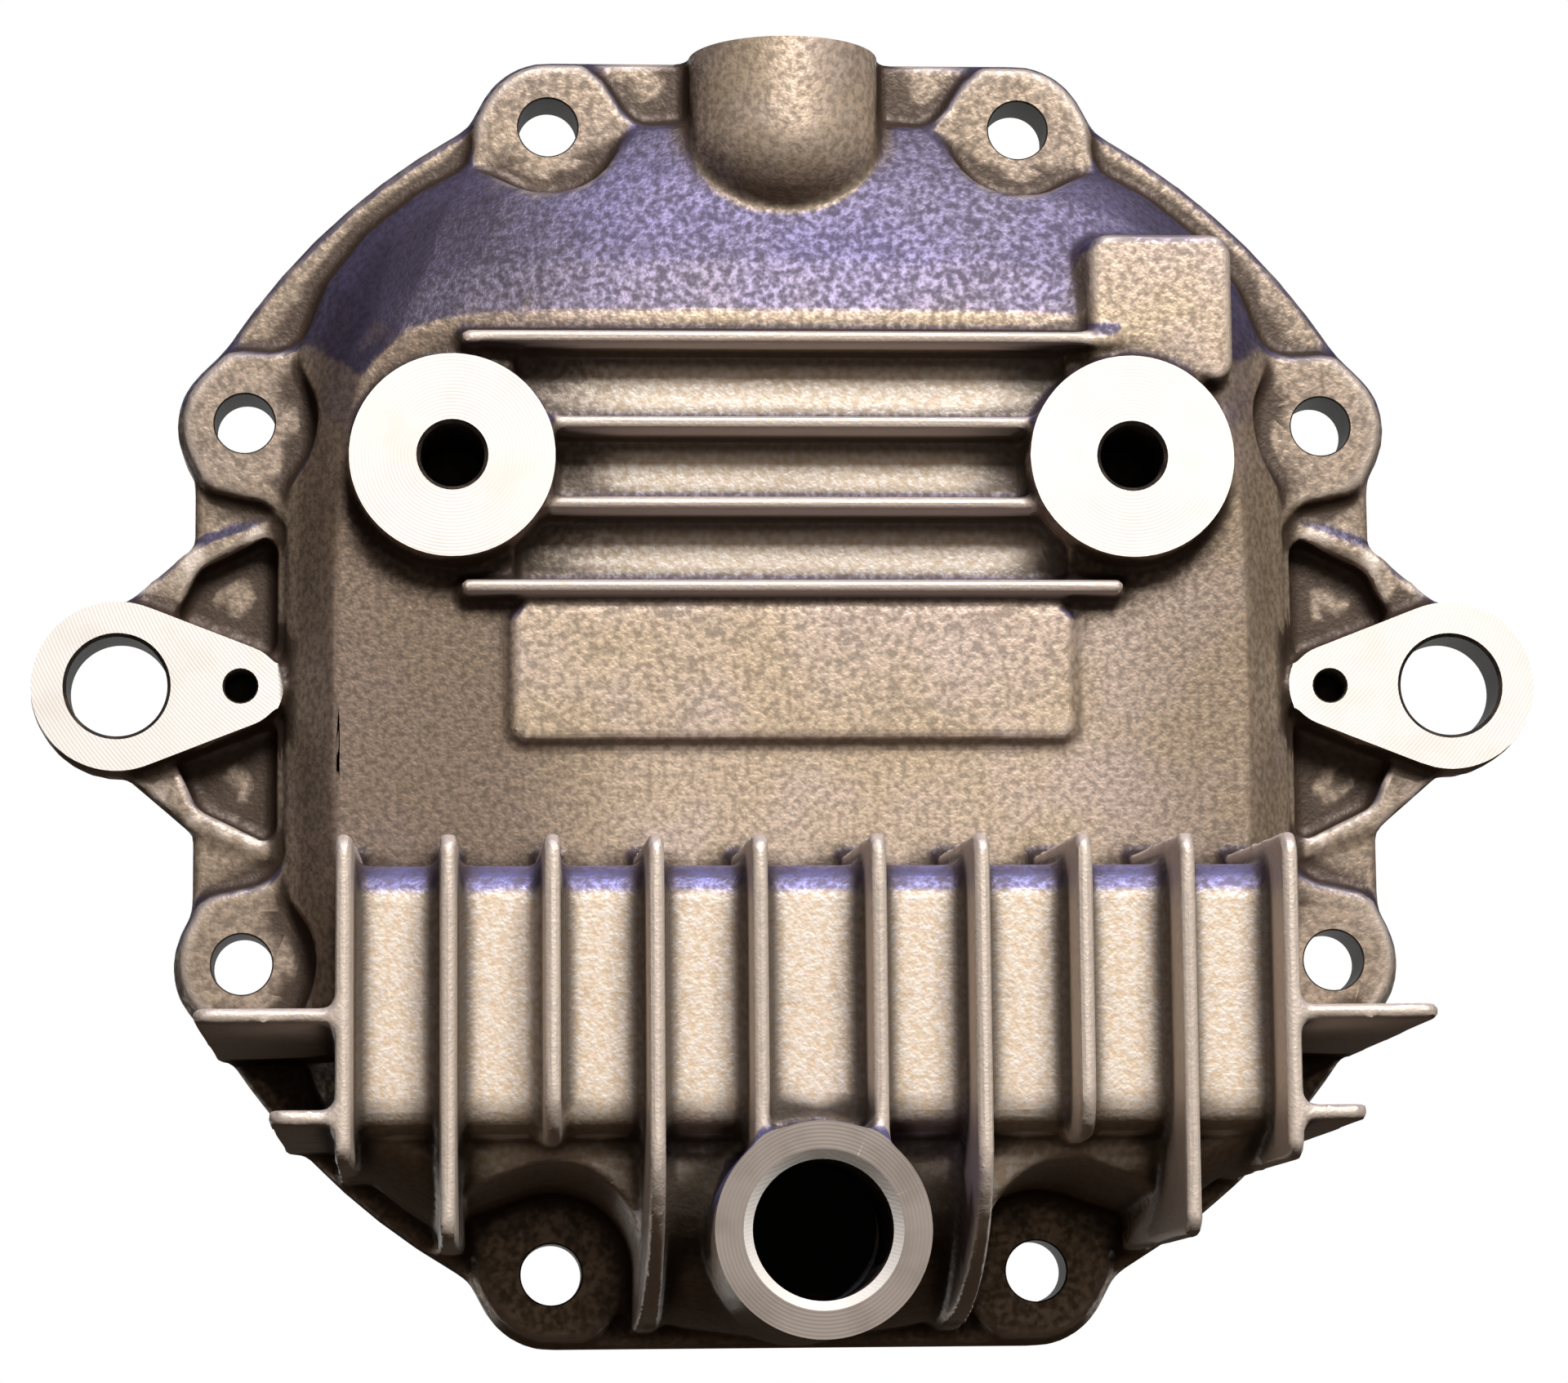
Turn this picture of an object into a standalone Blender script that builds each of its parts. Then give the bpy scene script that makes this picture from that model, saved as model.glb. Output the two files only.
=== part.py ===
"""Finned differential cover: one aluminium sand casting, machined where it seats.

Frame: X across, Z up, gasket face in the plane Y = 0. The cover stands out toward -Y.
Depth, in every name below, is the distance from the gasket face toward -Y.
The casting is symmetric about X = 0 apart from the square pad above the right stud boss.
"""
import math

import bmesh
import bpy

MM = 0.001

# Flange that bolts to the axle housing
FLANGE_RADIUS = 133.2 * MM
FLANGE_THICKNESS = 10.0 * MM
FLANGE_EDGE_CHAMFER = 1.0 * MM

# Bolt pattern: a pair at the top, a pair at the bottom and two pairs at the sides
BOLT_HOLE_DIAMETER = 12.0 * MM
END_BOLT_X = 48.0 * MM
END_BOLT_RIM = 17.2 * MM
END_BOLT_Z = FLANGE_RADIUS - END_BOLT_RIM
FLANGE_END_MARGIN = 14.6 * MM
FLANGE_HALF_HEIGHT = END_BOLT_Z + FLANGE_END_MARGIN
SIDE_BOLT_RIM = 24.2 * MM
SIDE_BOLT_X = FLANGE_RADIUS - SIDE_BOLT_RIM
SIDE_BOLT_Z = 54.5 * MM
FLANGE_SIDE_MARGIN = 10.0 * MM
FLANGE_HALF_WIDTH = SIDE_BOLT_X + FLANGE_SIDE_MARGIN
SIDE_LUG_RADIUS = 13.5 * MM
LUG_DEPTH = 13.0 * MM
LUG_NOTCH_RADIUS = 15.0 * MM
LUG_BLEND = 70
LUG_EDGE_GAP = 1.3 * MM
NOTCH_FLARE = 13.0 * MM
PAD_FLARE = 10.0 * MM
PAD_OVERLAP = 1.0 * MM
FLARE_TURN = math.radians(11)

# Upper body: steep at its sides, sloping gently at the top, with a rim of flange round it
BODY_SIDE_RIM = 18.0 * MM
BODY_TOP_RIM = 10.1 * MM
BODY_ROUND_RIM = 6.2 * MM
BODY_HALF_WIDTH = FLANGE_HALF_WIDTH - BODY_SIDE_RIM
BODY_TOP = FLANGE_HALF_HEIGHT - BODY_TOP_RIM
BODY_RADIUS = FLANGE_RADIUS - BODY_ROUND_RIM
BODY_DEPTH = 28.0 * MM
BODY_STEP_DEPTH = 12.0 * MM
BODY_SLOPE_LENGTH = 40.0 * MM
BODY_CROWN = 16.0 * MM
BODY_SIDE_DRAFT = 8.5 * MM
# Section of the body's edge: shares of the rise to full depth and of the way inward
BODY_SECTION = [(0.0, 0.0), (0.12, 0.03), (0.45, 0.42), (0.8, 0.85), (1.0, 1.15)]
WALL = 6.0 * MM
UPPER_WALL = 9.5 * MM

# Opening in the gasket face, with a broad land below it that the sump hangs behind
OPENING_SIDE_INSET = 7.5 * MM
OPENING_TOP_INSET = 13.5 * MM
OPENING_ROUND_INSET = 14.5 * MM
OPENING_HALF_WIDTH = BODY_HALF_WIDTH - OPENING_SIDE_INSET
OPENING_TOP = BODY_TOP - OPENING_TOP_INSET
OPENING_RADIUS = BODY_RADIUS - OPENING_ROUND_INSET
LAND_HEIGHT = 37.6 * MM
LAND_THICKNESS = FLANGE_THICKNESS
OPENING_BOTTOM = LAND_HEIGHT - FLANGE_HALF_HEIGHT

# Stud bosses
STUD_X = 67.3 * MM
STUD_Z = 43.9 * MM
STUD_BOSS_RADIUS = 20.3 * MM
STUD_FACE_DEPTH = 36.0 * MM
STUD_HOLE_DIAMETER = 12.6 * MM
STUD_HOLE_LENGTH = 28.0 * MM
STUD_INNER_RADIUS = 12.0 * MM
STUD_INNER_FLOOR = 3.0 * MM

# Cooling fins across the upper body, with the recess that they stand in
CROSS_FIN_HEIGHTS = [18.3 * MM, 34.9 * MM, 51.1 * MM, 68.4 * MM]
CROSS_FIN_THICKNESS = 2.7 * MM
CROSS_FIN_DEPTH = 33.4 * MM
CROSS_FIN_SHORT_HALF = 50.0 * MM
CROSS_FIN_LONG_HALF = 65.5 * MM
RECESS_DEPTH = 23.5 * MM
RECESS_HALF_WIDTH = 55.0 * MM

# Raised plate in the middle, bare
PLATE_HALF_WIDTH = 55.4 * MM
PLATE_TOP = 14.2 * MM
PLATE_BOTTOM = -11.8 * MM
PLATE_DEPTH = 30.4 * MM
PLATE_CORNER = 2.5 * MM

# Square pad above the right stud boss
PAD_LEFT = 60.0 * MM
PAD_RIGHT = 88.5 * MM
PAD_TOP = 90.0 * MM
PAD_BOTTOM = 60.0 * MM
PAD_DEPTH = 32.0 * MM
PAD_SPREAD = 5.0 * MM
PAD_SIDE_SPREAD = 1.0 * MM
PAD_CORNER = 4.0 * MM

# Breather boss at the top, with its tapped hole pointing up
BREATHER_RADIUS = 19.3 * MM
BREATHER_CENTRE_DEPTH = 11.5 * MM
BREATHER_TOP = FLANGE_HALF_HEIGHT
BREATHER_STRAIGHT_END = 113.0 * MM
BREATHER_BOTTOM = 96.0 * MM
BREATHER_HOLE_DIAMETER = 10.0 * MM
BREATHER_HOLE_END = 95.0 * MM

# Sump: a box that stands out from the lower half, with a round lower side
SUMP_DEPTH = 80.0 * MM
SUMP_SHELF_Z = -38.5 * MM
SUMP_SHELF_DROP = 3.0 * MM
SUMP_EDGE_RADIUS = 6.5 * MM
SUMP_BOTTOM_RIM = 39.1 * MM
SUMP_FACE_BOTTOM = SUMP_BOTTOM_RIM - FLANGE_HALF_HEIGHT
SUMP_LOWER_EDGE = 6.0 * MM
SUMP_LOWER_STEP = 1.0 * MM
BELLY_DEPTH = 70.0 * MM
SUMP_FOOT_RIM = 4.7 * MM
SUMP_FOOT_RADIUS = FLANGE_RADIUS - SUMP_FOOT_RIM
SUMP_FOOT_DEPTH = 12.0 * MM

# Upright fins on the sump
FIN_FIRST_X = 10.9 * MM
FIN_PITCH = 19.0 * MM
FIN_SIDE_CLEARANCE = 5.0 * MM
FINS_PER_SIDE = 1 + int((BODY_HALF_WIDTH - FIN_SIDE_CLEARANCE - FIN_FIRST_X) / FIN_PITCH)
FIN_DEPTH = 96.0 * MM
FIN_THICKNESS = 2.9 * MM
FIN_TOP_FRONT = -37.5 * MM
FIN_TOP_BACK = -34.0 * MM
FIN_CORNER = 4.0 * MM
SHORT_FIN_CORNER = 9.0 * MM
FIN_FOOT_RIM = 2.2 * MM
FIN_FOOT_RADIUS = FLANGE_RADIUS - FIN_FOOT_RIM
FIN_DRAFT_ANGLE = math.radians(0.6)
FIN_POCKET_GAP = 0.5 * MM
FIN_BEND_DROP = 4.0 * MM

# The outermost fins stand over the sump's side walls
SUMP_HALF_WIDTH = FIN_FIRST_X + FIN_PITCH * (FINS_PER_SIDE - 1)

# Level fins at the sides of the sump
SIDE_FIN_RISE = 2.0 * MM
SIDE_FIN_PITCH = 18.5 * MM
SIDE_FIN_HEIGHTS = [SUMP_FACE_BOTTOM + SIDE_FIN_RISE + SIDE_FIN_PITCH * k for k in (1, 0)]
SIDE_FIN_CORNER = 3.0 * MM
SIDE_FIN_OVERHANG = 1.3 * MM
SIDE_FIN_REACH = FLANGE_RADIUS + SIDE_FIN_OVERHANG

# Pockets that leave room for a socket on the two bottom bolts
POCKET_RADIUS = 15.8 * MM
POCKET_MOUTH_RADIUS = 16.6 * MM
POCKET_MOUTH_RISE = 5.0 * MM
POCKET_LEVEL_ANGLE = 70
POCKET_FIN_GAP = 0.6 * MM

# Drain boss
DRAIN_RADIUS = 19.8 * MM
DRAIN_RIM = 0.5 * MM
DRAIN_Z = DRAIN_RADIUS + DRAIN_RIM - FLANGE_HALF_HEIGHT
DRAIN_DEPTH = 97.0 * MM
DRAIN_HOLE_DIAMETER = 26.0 * MM
DRAIN_CHAMFER = 1.6 * MM

# Ears at the sides, each with a milled pad
EAR_OVERHANG = 15.0 * MM
EAR_X = FLANGE_HALF_WIDTH + EAR_OVERHANG
EAR_Z = 1.0 * MM
EAR_RADIUS = 17.4 * MM
EAR_HOLE_DIAMETER = 20.0 * MM
EAR_HOLE_CHAMFER = 0.7 * MM
EAR_PAD_DEPTH = 14.2 * MM
EAR_ARM_DEPTH = 11.0 * MM
EAR_BACK_RELIEF = 1.5 * MM
EAR_SMALL_SPACING = 24.5 * MM
EAR_SMALL_X = EAR_X - EAR_SMALL_SPACING
EAR_SMALL_RADIUS = 8.1 * MM
EAR_SMALL_HOLE_DIAMETER = 6.6 * MM
EAR_SMALL_HOLE_LENGTH = 10.0 * MM
EAR_POCKET_FLOOR = 4.5 * MM
EAR_RIM = 4.2 * MM
EAR_POCKET_GAP = 1.4 * MM
EAR_POCKET_CORNER = 2.5 * MM
ARM_SHOULDER_OVERHANG = 0.5 * MM
ARM_SHOULDER_X = FLANGE_HALF_WIDTH + ARM_SHOULDER_OVERHANG
ARM_SHOULDER_RISE = 28.5 * MM
ARM_ROOT_RISE = 37.5 * MM
ARM_WRAP_ANGLE = 95
EAR_PAD_INSET = 0.4 * MM

# Small common values
EDGE_CHAMFER = 0.8 * MM
BOSS_DRAFT = 0.5 * MM
ROOT_DEPTH = FLANGE_THICKNESS / 2
OVERCUT = 3.0 * MM
ROUND_STEPS = 32
HOLE_STEPS = 20
BODY_STEPS = 60
FLARE_STEPS = 5
SEAT_STEPS = 6
OUTLINE_STEP = 4
LUG_STEP = 1.25
LUG_SPAN = 7.5


def clear_scene():
    for old in list(bpy.data.objects):
        bpy.data.objects.remove(old, do_unlink=True)


def cast_aluminium():
    material = bpy.data.materials.new("cast_aluminium")
    material.use_nodes = True
    shader = material.node_tree.nodes["Principled BSDF"]
    shader.inputs["Base Color"].default_value = (0.33, 0.27, 0.22, 1.0)
    shader.inputs["Metallic"].default_value = 0.85
    shader.inputs["Roughness"].default_value = 0.55
    return material


# Outlines are lists of (x, z) pairs, counter-clockwise as seen from the front

def circle(x, z, radius, steps=ROUND_STEPS):
    turn = [2 * math.pi * i / steps for i in range(steps)]
    return [(x + radius * math.cos(a), z + radius * math.sin(a)) for a in turn]


def rounded(corners, radius, steps=5):
    """Each corner of a convex outline is replaced by an arc that touches both its sides."""
    outline = []
    count = len(corners)
    for i, (x, z) in enumerate(corners):
        before, after = corners[i - 1], corners[(i + 1) % count]
        to_before = math.atan2(before[1] - z, before[0] - x)
        to_after = math.atan2(after[1] - z, after[0] - x)
        opening = (to_before - to_after) % (2 * math.pi)
        middle = to_after + opening / 2
        reach = radius / math.sin(opening / 2)
        cx, cz = x + reach * math.cos(middle), z + reach * math.sin(middle)
        first, sweep = to_before + math.pi / 2, math.pi - opening
        for k in range(steps + 1):
            angle = first + sweep * k / steps
            outline.append((cx + radius * math.cos(angle), cz + radius * math.sin(angle)))
    return outline


def box_outline(left, right, bottom, top, radius):
    return rounded([(left, bottom), (right, bottom), (right, top), (left, top)], radius)


def round_and_small_end(big, big_radius, small, small_radius, steps=18):
    """Outline round two circles of different size, joined by their common tangents."""
    dx, dz = small[0] - big[0], small[1] - big[1]
    along = math.atan2(dz, dx)
    lean = math.acos((big_radius - small_radius) / math.hypot(dx, dz))
    outline = []
    for (x, z), radius, start, sweep in (
        (small, small_radius, along - lean, 2 * lean),
        (big, big_radius, along + lean, 2 * math.pi - 2 * lean),
    ):
        for k in range(steps + 1):
            angle = start + sweep * k / steps
            outline.append((x + radius * math.cos(angle), z + radius * math.sin(angle)))
    return outline


def mirrored(outline):
    return [(-x, z) for x, z in reversed(outline)]


def bolt_places():
    ends = [(sx * END_BOLT_X, sz * END_BOLT_Z) for sx in (-1, 1) for sz in (-1, 1)]
    sides = [(sx * SIDE_BOLT_X, sz * SIDE_BOLT_Z) for sx in (-1, 1) for sz in (-1, 1)]
    return ends + sides


def reach_to_circle(angle, x, z, radius):
    """How far a ray from the origin goes before it leaves a circle, or 0 where it misses."""
    along = x * math.cos(angle) + z * math.sin(angle)
    across = x * math.sin(angle) - z * math.cos(angle)
    if along <= 0 or abs(across) >= radius:
        return 0.0
    return along + math.sqrt(radius ** 2 - across ** 2)


def lug_radius(x):
    """The straight top and bottom edges run into the end lugs, so those have the end margin."""
    return FLANGE_END_MARGIN if abs(x) < SIDE_BOLT_X else SIDE_LUG_RADIUS


def flange_reach(angle):
    """The flange is a disc with flat sides, straight top and bottom edges, and eight lugs."""
    c, s = abs(math.cos(angle)) + 1e-9, abs(math.sin(angle)) + 1e-9
    if FLANGE_HALF_HEIGHT * c / s <= END_BOLT_X:
        return FLANGE_HALF_HEIGHT / s
    reach = min(FLANGE_RADIUS, FLANGE_HALF_WIDTH / c)
    lugs = [reach_to_circle(angle, x, z, lug_radius(x)) for x, z in bolt_places()]
    blend = sum((r / FLANGE_RADIUS) ** LUG_BLEND for r in [reach] + lugs)
    return FLANGE_RADIUS * blend ** (1 / LUG_BLEND)


def outline_angles():
    """Directions for the flange's outline, closer together where a lug stands out."""
    degrees = []
    lugs = [math.degrees(math.atan2(z, x)) % 360 for x, z in bolt_places()]
    for lug in lugs:
        steps = round(2 * LUG_SPAN / LUG_STEP)
        degrees += [(lug - LUG_SPAN + LUG_STEP * k) % 360 for k in range(steps + 1)]
    for k in range(round(360 / OUTLINE_STEP)):
        angle = OUTLINE_STEP * k
        nearest = min(abs((angle - lug + 180) % 360 - 180) for lug in lugs)
        if nearest > LUG_SPAN + LUG_STEP:
            degrees.append(angle)
    return [math.radians(a) for a in sorted(degrees)]


def flange_outline(inset=0.0):
    angles = outline_angles()
    reaches = [flange_reach(a) - inset for a in angles]
    return [(r * math.cos(a), r * math.sin(a)) for r, a in zip(reaches, angles)]


def body_reach(angle, half_width, top, bottom, radius, sharpness=16):
    """Soft minimum of three limits: the sides, the top or bottom, and a circle."""
    c, s = abs(math.cos(angle)), abs(math.sin(angle))
    height = top if math.sin(angle) > 0 else bottom
    power = (c / half_width) ** sharpness + (s / height) ** sharpness + radius ** -sharpness
    return power ** (-1 / sharpness)


def body_outline(half_width, top, bottom, radius, steps=BODY_STEPS):
    turn = [2 * math.pi * i / steps for i in range(steps)]
    reaches = [body_reach(a, half_width, top, bottom, radius) for a in turn]
    return [(r * math.cos(a), r * math.sin(a)) for r, a in zip(reaches, turn)]


def crossing(one, radius_one, two, radius_two, side):
    """Where two circles cross, left (1) or right (-1) of the line from one centre to the other.

    Circles that just miss each other give the point between them.
    """
    dx, dz = two[0] - one[0], two[1] - one[1]
    apart = math.hypot(dx, dz)
    along = (apart ** 2 + radius_one ** 2 - radius_two ** 2) / (2 * apart)
    across = side * math.sqrt(max(0.0, radius_one ** 2 - along ** 2))
    return (one[0] + (along * dx - across * dz) / apart, one[1] + (along * dz + across * dx) / apart)


def heading(start, end):
    return math.atan2(end[1] - start[1], end[0] - start[0])


def shorter_arc(centre, radius, start, end, steps=FLARE_STEPS):
    """Points round a centre from one direction to another, the shorter way."""
    sweep = (end - start + math.pi) % (2 * math.pi) - math.pi
    turns = [start + sweep * k / steps for k in range(steps + 1)]
    return [(centre[0] + radius * math.cos(a), centre[1] + radius * math.sin(a)) for a in turns]


# Solids

def new_object(name, mesh_builder):
    bm = bmesh.new()
    mesh_builder(bm)
    bmesh.ops.recalc_face_normals(bm, faces=bm.faces)
    mesh = bpy.data.meshes.new(name)
    bm.to_mesh(mesh)
    bm.free()
    solid = bpy.data.objects.new(name, mesh)
    bpy.context.collection.objects.link(solid)
    return solid


def add_loft(bm, rings):
    """A closed solid through rings of (outline, depth), all with the same number of points."""
    loops = [[bm.verts.new((x, -depth, z)) for x, z in outline] for outline, depth in rings]
    for low, high in zip(loops, loops[1:]):
        for i in range(len(low)):
            j = (i + 1) % len(low)
            bm.faces.new((low[i], low[j], high[j], high[i]))
    bm.faces.new(list(reversed(loops[0])))
    bm.faces.new(loops[-1])


def lofts(name, ring_lists):
    def build(bm):
        for rings in ring_lists:
            add_loft(bm, rings)
    return new_object(name, build)


def add_slab(bm, profile, half_widths, place):
    """A plate with a drafted thickness: a profile, half a thickness for each point, and a placing."""
    sides = []
    for sign in (-1, 1):
        sides.append([bm.verts.new(place(a, b, sign * h)) for (a, b), h in zip(profile, half_widths)])
    for i in range(len(profile)):
        j = (i + 1) % len(profile)
        bm.faces.new((sides[0][i], sides[0][j], sides[1][j], sides[1][i]))
    bm.faces.new(list(reversed(sides[0])))
    bm.faces.new(sides[1])


def boolean(target, tool, operation):
    modifier = target.modifiers.new(operation.lower(), "BOOLEAN")
    modifier.operation = operation
    modifier.object = tool
    modifier.solver = "EXACT"
    graph = bpy.context.evaluated_depsgraph_get()
    mesh = bpy.data.meshes.new_from_object(target.evaluated_get(graph))
    target.modifiers.remove(modifier)
    target.data = mesh
    bpy.data.objects.remove(tool, do_unlink=True)


def arc(centre_a, centre_b, radius_a, radius_b, start, end, steps):
    """Points along part of an ellipse, from one angle to another, in degrees."""
    points = []
    for k in range(steps + 1):
        angle = math.radians(start + (end - start) * k / steps)
        points.append((centre_a + radius_a * math.cos(angle), centre_b + radius_b * math.sin(angle)))
    return points


def drafted_cylinder(x, z, radius, start, end, draft=BOSS_DRAFT, chamfer=EDGE_CHAMFER):
    return [
        (circle(x, z, radius + draft), start),
        (circle(x, z, radius), end - chamfer),
        (circle(x, z, radius - chamfer), end),
    ]


# Pieces of the casting

def flange():
    rings = [
        (flange_outline(), -OVERCUT),
        (flange_outline(), FLANGE_THICKNESS - FLANGE_EDGE_CHAMFER),
        (flange_outline(FLANGE_EDGE_CHAMFER), FLANGE_THICKNESS),
    ]
    return lofts("flange", [rings])


def edge_circles(bolt):
    """The body's edge on both sides of a lug in the upper right, as circles (centre, radius).

    The edge is round between a top bolt and a side bolt. It is straight from the top bolt to the
    middle and from the side bolt down to the ear, which is a circle of very large radius here.
    """
    angle = math.atan2(bolt[1], bolt[0])
    limits = (BODY_HALF_WIDTH, BODY_TOP, BODY_TOP, BODY_RADIUS)
    before, after = angle - FLARE_TURN, angle + FLARE_TURN
    huge = 100 * BODY_RADIUS
    if bolt[1] > bolt[0]:
        level = body_reach(after, *limits) * math.sin(after)
        return ((0.0, 0.0), body_reach(before, *limits)), ((0.0, level - huge), huge)
    level = body_reach(before, *limits) * math.cos(before)
    return ((level - huge, 0.0), huge), ((0.0, 0.0), body_reach(after, *limits))


def notch_flare(bolt, edge, side, grow):
    """An arc from a lug's seat to the body's edge that touches both; its centre is in the body."""
    centre, reach = edge
    middle = crossing(bolt, LUG_NOTCH_RADIUS + NOTCH_FLARE, centre, reach - NOTCH_FLARE, side)
    return shorter_arc(middle, NOTCH_FLARE - grow, heading(middle, bolt), heading(centre, middle))


def pad_flare(bolt, edge, side):
    """The same on the pad's outer side, where the arc's centre is over the rim."""
    centre, reach = edge
    inside = reach - PAD_OVERLAP
    middle = crossing(bolt, LUG_NOTCH_RADIUS + PAD_FLARE, centre, inside + PAD_FLARE, side)
    return shorter_arc(middle, PAD_FLARE, heading(middle, bolt), heading(middle, centre))


def seat_arc(bolt, start, end, grow=0.0, steps=SEAT_STEPS):
    """Round the seat from one point to another, past the side that faces the middle of the cover."""
    first, last = heading(bolt, start), heading(bolt, end)
    inward = heading(bolt, (0.0, 0.0))
    radius = LUG_NOTCH_RADIUS + grow
    return (shorter_arc(bolt, radius, first, inward, steps)[:-1]
            + shorter_arc(bolt, radius, inward, last, steps))


def notch_curve(bolt, grow=0.0):
    """The notch's edge in the body, from the clockwise flare round the seat to the other flare."""
    right, left = edge_circles(bolt)
    first = list(reversed(notch_flare(bolt, right, 1, grow)))
    last = notch_flare(bolt, left, -1, grow)
    return first + seat_arc(bolt, first[-1], last[0], grow)[1:-1] + last


def four_ways(outline):
    """An outline in the upper right, and its mirror images."""
    upside_down = [(x, -z) for x, z in reversed(outline)]
    return [outline, mirrored(outline), upside_down, mirrored(upside_down)]


def pad_outline(bolt):
    """A seat with two horns along the body's edge: its inner side lies within the body."""
    right, left = edge_circles(bolt)
    outer_right, outer_left = pad_flare(bolt, right, 1), pad_flare(bolt, left, -1)
    outward = heading((0.0, 0.0), bolt)
    around = (shorter_arc(bolt, LUG_NOTCH_RADIUS, heading(bolt, outer_right[0]), outward)[1:-1]
              + shorter_arc(bolt, LUG_NOTCH_RADIUS, outward, heading(bolt, outer_left[0]))[:-1])
    inner = notch_curve(bolt, PAD_OVERLAP)
    return list(reversed(outer_right)) + around + outer_left + list(reversed(inner))


def flared_lugs():
    return [(SIDE_BOLT_X, SIDE_BOLT_Z), (END_BOLT_X, END_BOLT_Z)]


def lug_outlines(shape):
    """A shape for each flared lug; the two bottom lugs lie in the sump's pockets and have none."""
    side, end = [shape(bolt) for bolt in flared_lugs()]
    return four_ways(side) + four_ways(end)[:2]


def bottom_seats(radius):
    return [circle(s * END_BOLT_X, -END_BOLT_Z, radius, HOLE_STEPS) for s in (-1, 1)]


def lug_pads():
    """Raised seats for the bolt heads, which end at the flange's edge."""
    outlines = lug_outlines(pad_outline) + bottom_seats(LUG_NOTCH_RADIUS)
    start = ROOT_DEPTH
    seats = lofts("lug_pads", [[(outline, start), (outline, LUG_DEPTH)] for outline in outlines])
    edge = lofts("flange_edge", [[
        (flange_outline(LUG_EDGE_GAP), 0.0), (flange_outline(LUG_EDGE_GAP), LUG_DEPTH + OVERCUT)]])
    boolean(seats, edge, "INTERSECT")
    return seats


def notch_outline(bolt):
    """The notch's edge, closed by a detour outside the flange."""
    curve = notch_curve(bolt)
    far = 1 + LUG_NOTCH_RADIUS / FLANGE_RADIUS
    return curve + [(x * far, z * far) for x, z in (curve[-1], bolt, curve[0])]


def lug_notches():
    """Room in the body for a socket over each bolt."""
    outlines = lug_outlines(notch_outline) + bottom_seats(LUG_NOTCH_RADIUS)
    end = BODY_DEPTH + OVERCUT
    return lofts("lug_notches", [[(outline, LUG_DEPTH), (outline, end)] for outline in outlines])


def body_rings(wall, start):
    """The upper body, or with a wall thickness the hollow inside it."""
    rings = []
    half_width, top, radius = BODY_HALF_WIDTH, BODY_TOP, BODY_RADIUS
    if wall:
        half_width, top, radius = OPENING_HALF_WIDTH, OPENING_TOP, OPENING_RADIUS
    for rise, run in BODY_SECTION:
        depth = BODY_STEP_DEPTH + (BODY_DEPTH - BODY_STEP_DEPTH) * rise
        depth -= UPPER_WALL if wall else 0.0
        rings.append((body_outline(
            min(half_width, BODY_HALF_WIDTH - wall - BODY_SIDE_DRAFT * run),
            min(top, BODY_TOP - wall - BODY_SLOPE_LENGTH * run),
            min(top, BODY_TOP - wall - BODY_CROWN * run),
            min(radius, BODY_RADIUS - wall - BODY_CROWN * run)), depth))
    return [(body_outline(half_width, top, top, radius), start)] + rings


def sump_profile(x, wall):
    """Side view of the sump at one distance across: (depth, z) from the shelf round to the foot."""
    depth = SUMP_DEPTH - wall
    edge = SUMP_EDGE_RADIUS - wall / 2
    shelf_front = SUMP_SHELF_Z - SUMP_SHELF_DROP - wall
    foot = -math.sqrt(SUMP_FOOT_RADIUS ** 2 - x ** 2) + wall
    face_end = SUMP_FACE_BOTTOM + wall / 2
    back = [(SUMP_FOOT_DEPTH, SUMP_SHELF_Z - wall)]
    front = arc(depth - edge, shelf_front - edge, edge, edge, 90, 0, 5)
    lower = SUMP_LOWER_EDGE - wall / 2
    turn = arc(depth - lower, face_end + lower, lower, lower, 0, -80, 4)
    belly = BELLY_DEPTH - wall - SUMP_FOOT_DEPTH
    belly_top = face_end - SUMP_LOWER_STEP
    below = arc(SUMP_FOOT_DEPTH, belly_top, belly, belly_top - foot, 0, -90, 11)
    return back + front + turn + below


def sump(wall=0.0, stations=17):
    half = SUMP_HALF_WIDTH - wall
    across = [half * (2 * k / (stations - 1) - 1) for k in range(stations)]
    start = ROOT_DEPTH if not wall else -OVERCUT

    def build(bm):
        loops = []
        for x in across:
            profile = sump_profile(x, wall)
            foot = profile[-1][1]
            profile = profile + [(start, foot), (start, profile[0][1])]
            lean = 1 if x == across[-1] else -1 if x == across[0] else 0
            loops.append([
                bm.verts.new((x + lean * (SUMP_DEPTH - d) * math.tan(FIN_DRAFT_ANGLE), -d, z))
                for d, z in profile
            ])
        for one, two in zip(loops, loops[1:]):
            for i in range(len(one)):
                j = (i + 1) % len(one)
                bm.faces.new((one[i], one[j], two[j], two[i]))
        bm.faces.new(list(reversed(loops[0])))
        bm.faces.new(loops[-1])

    return new_object("sump", build)


def fin_half_widths(profile, tip_thickness, tip_depth):
    return [tip_thickness / 2 + (tip_depth - d) * math.tan(FIN_DRAFT_ANGLE) for d, _ in profile]


def fin_places():
    return [s * (FIN_FIRST_X + FIN_PITCH * k) for k in range(FINS_PER_SIDE) for s in (-1, 1)]


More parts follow.
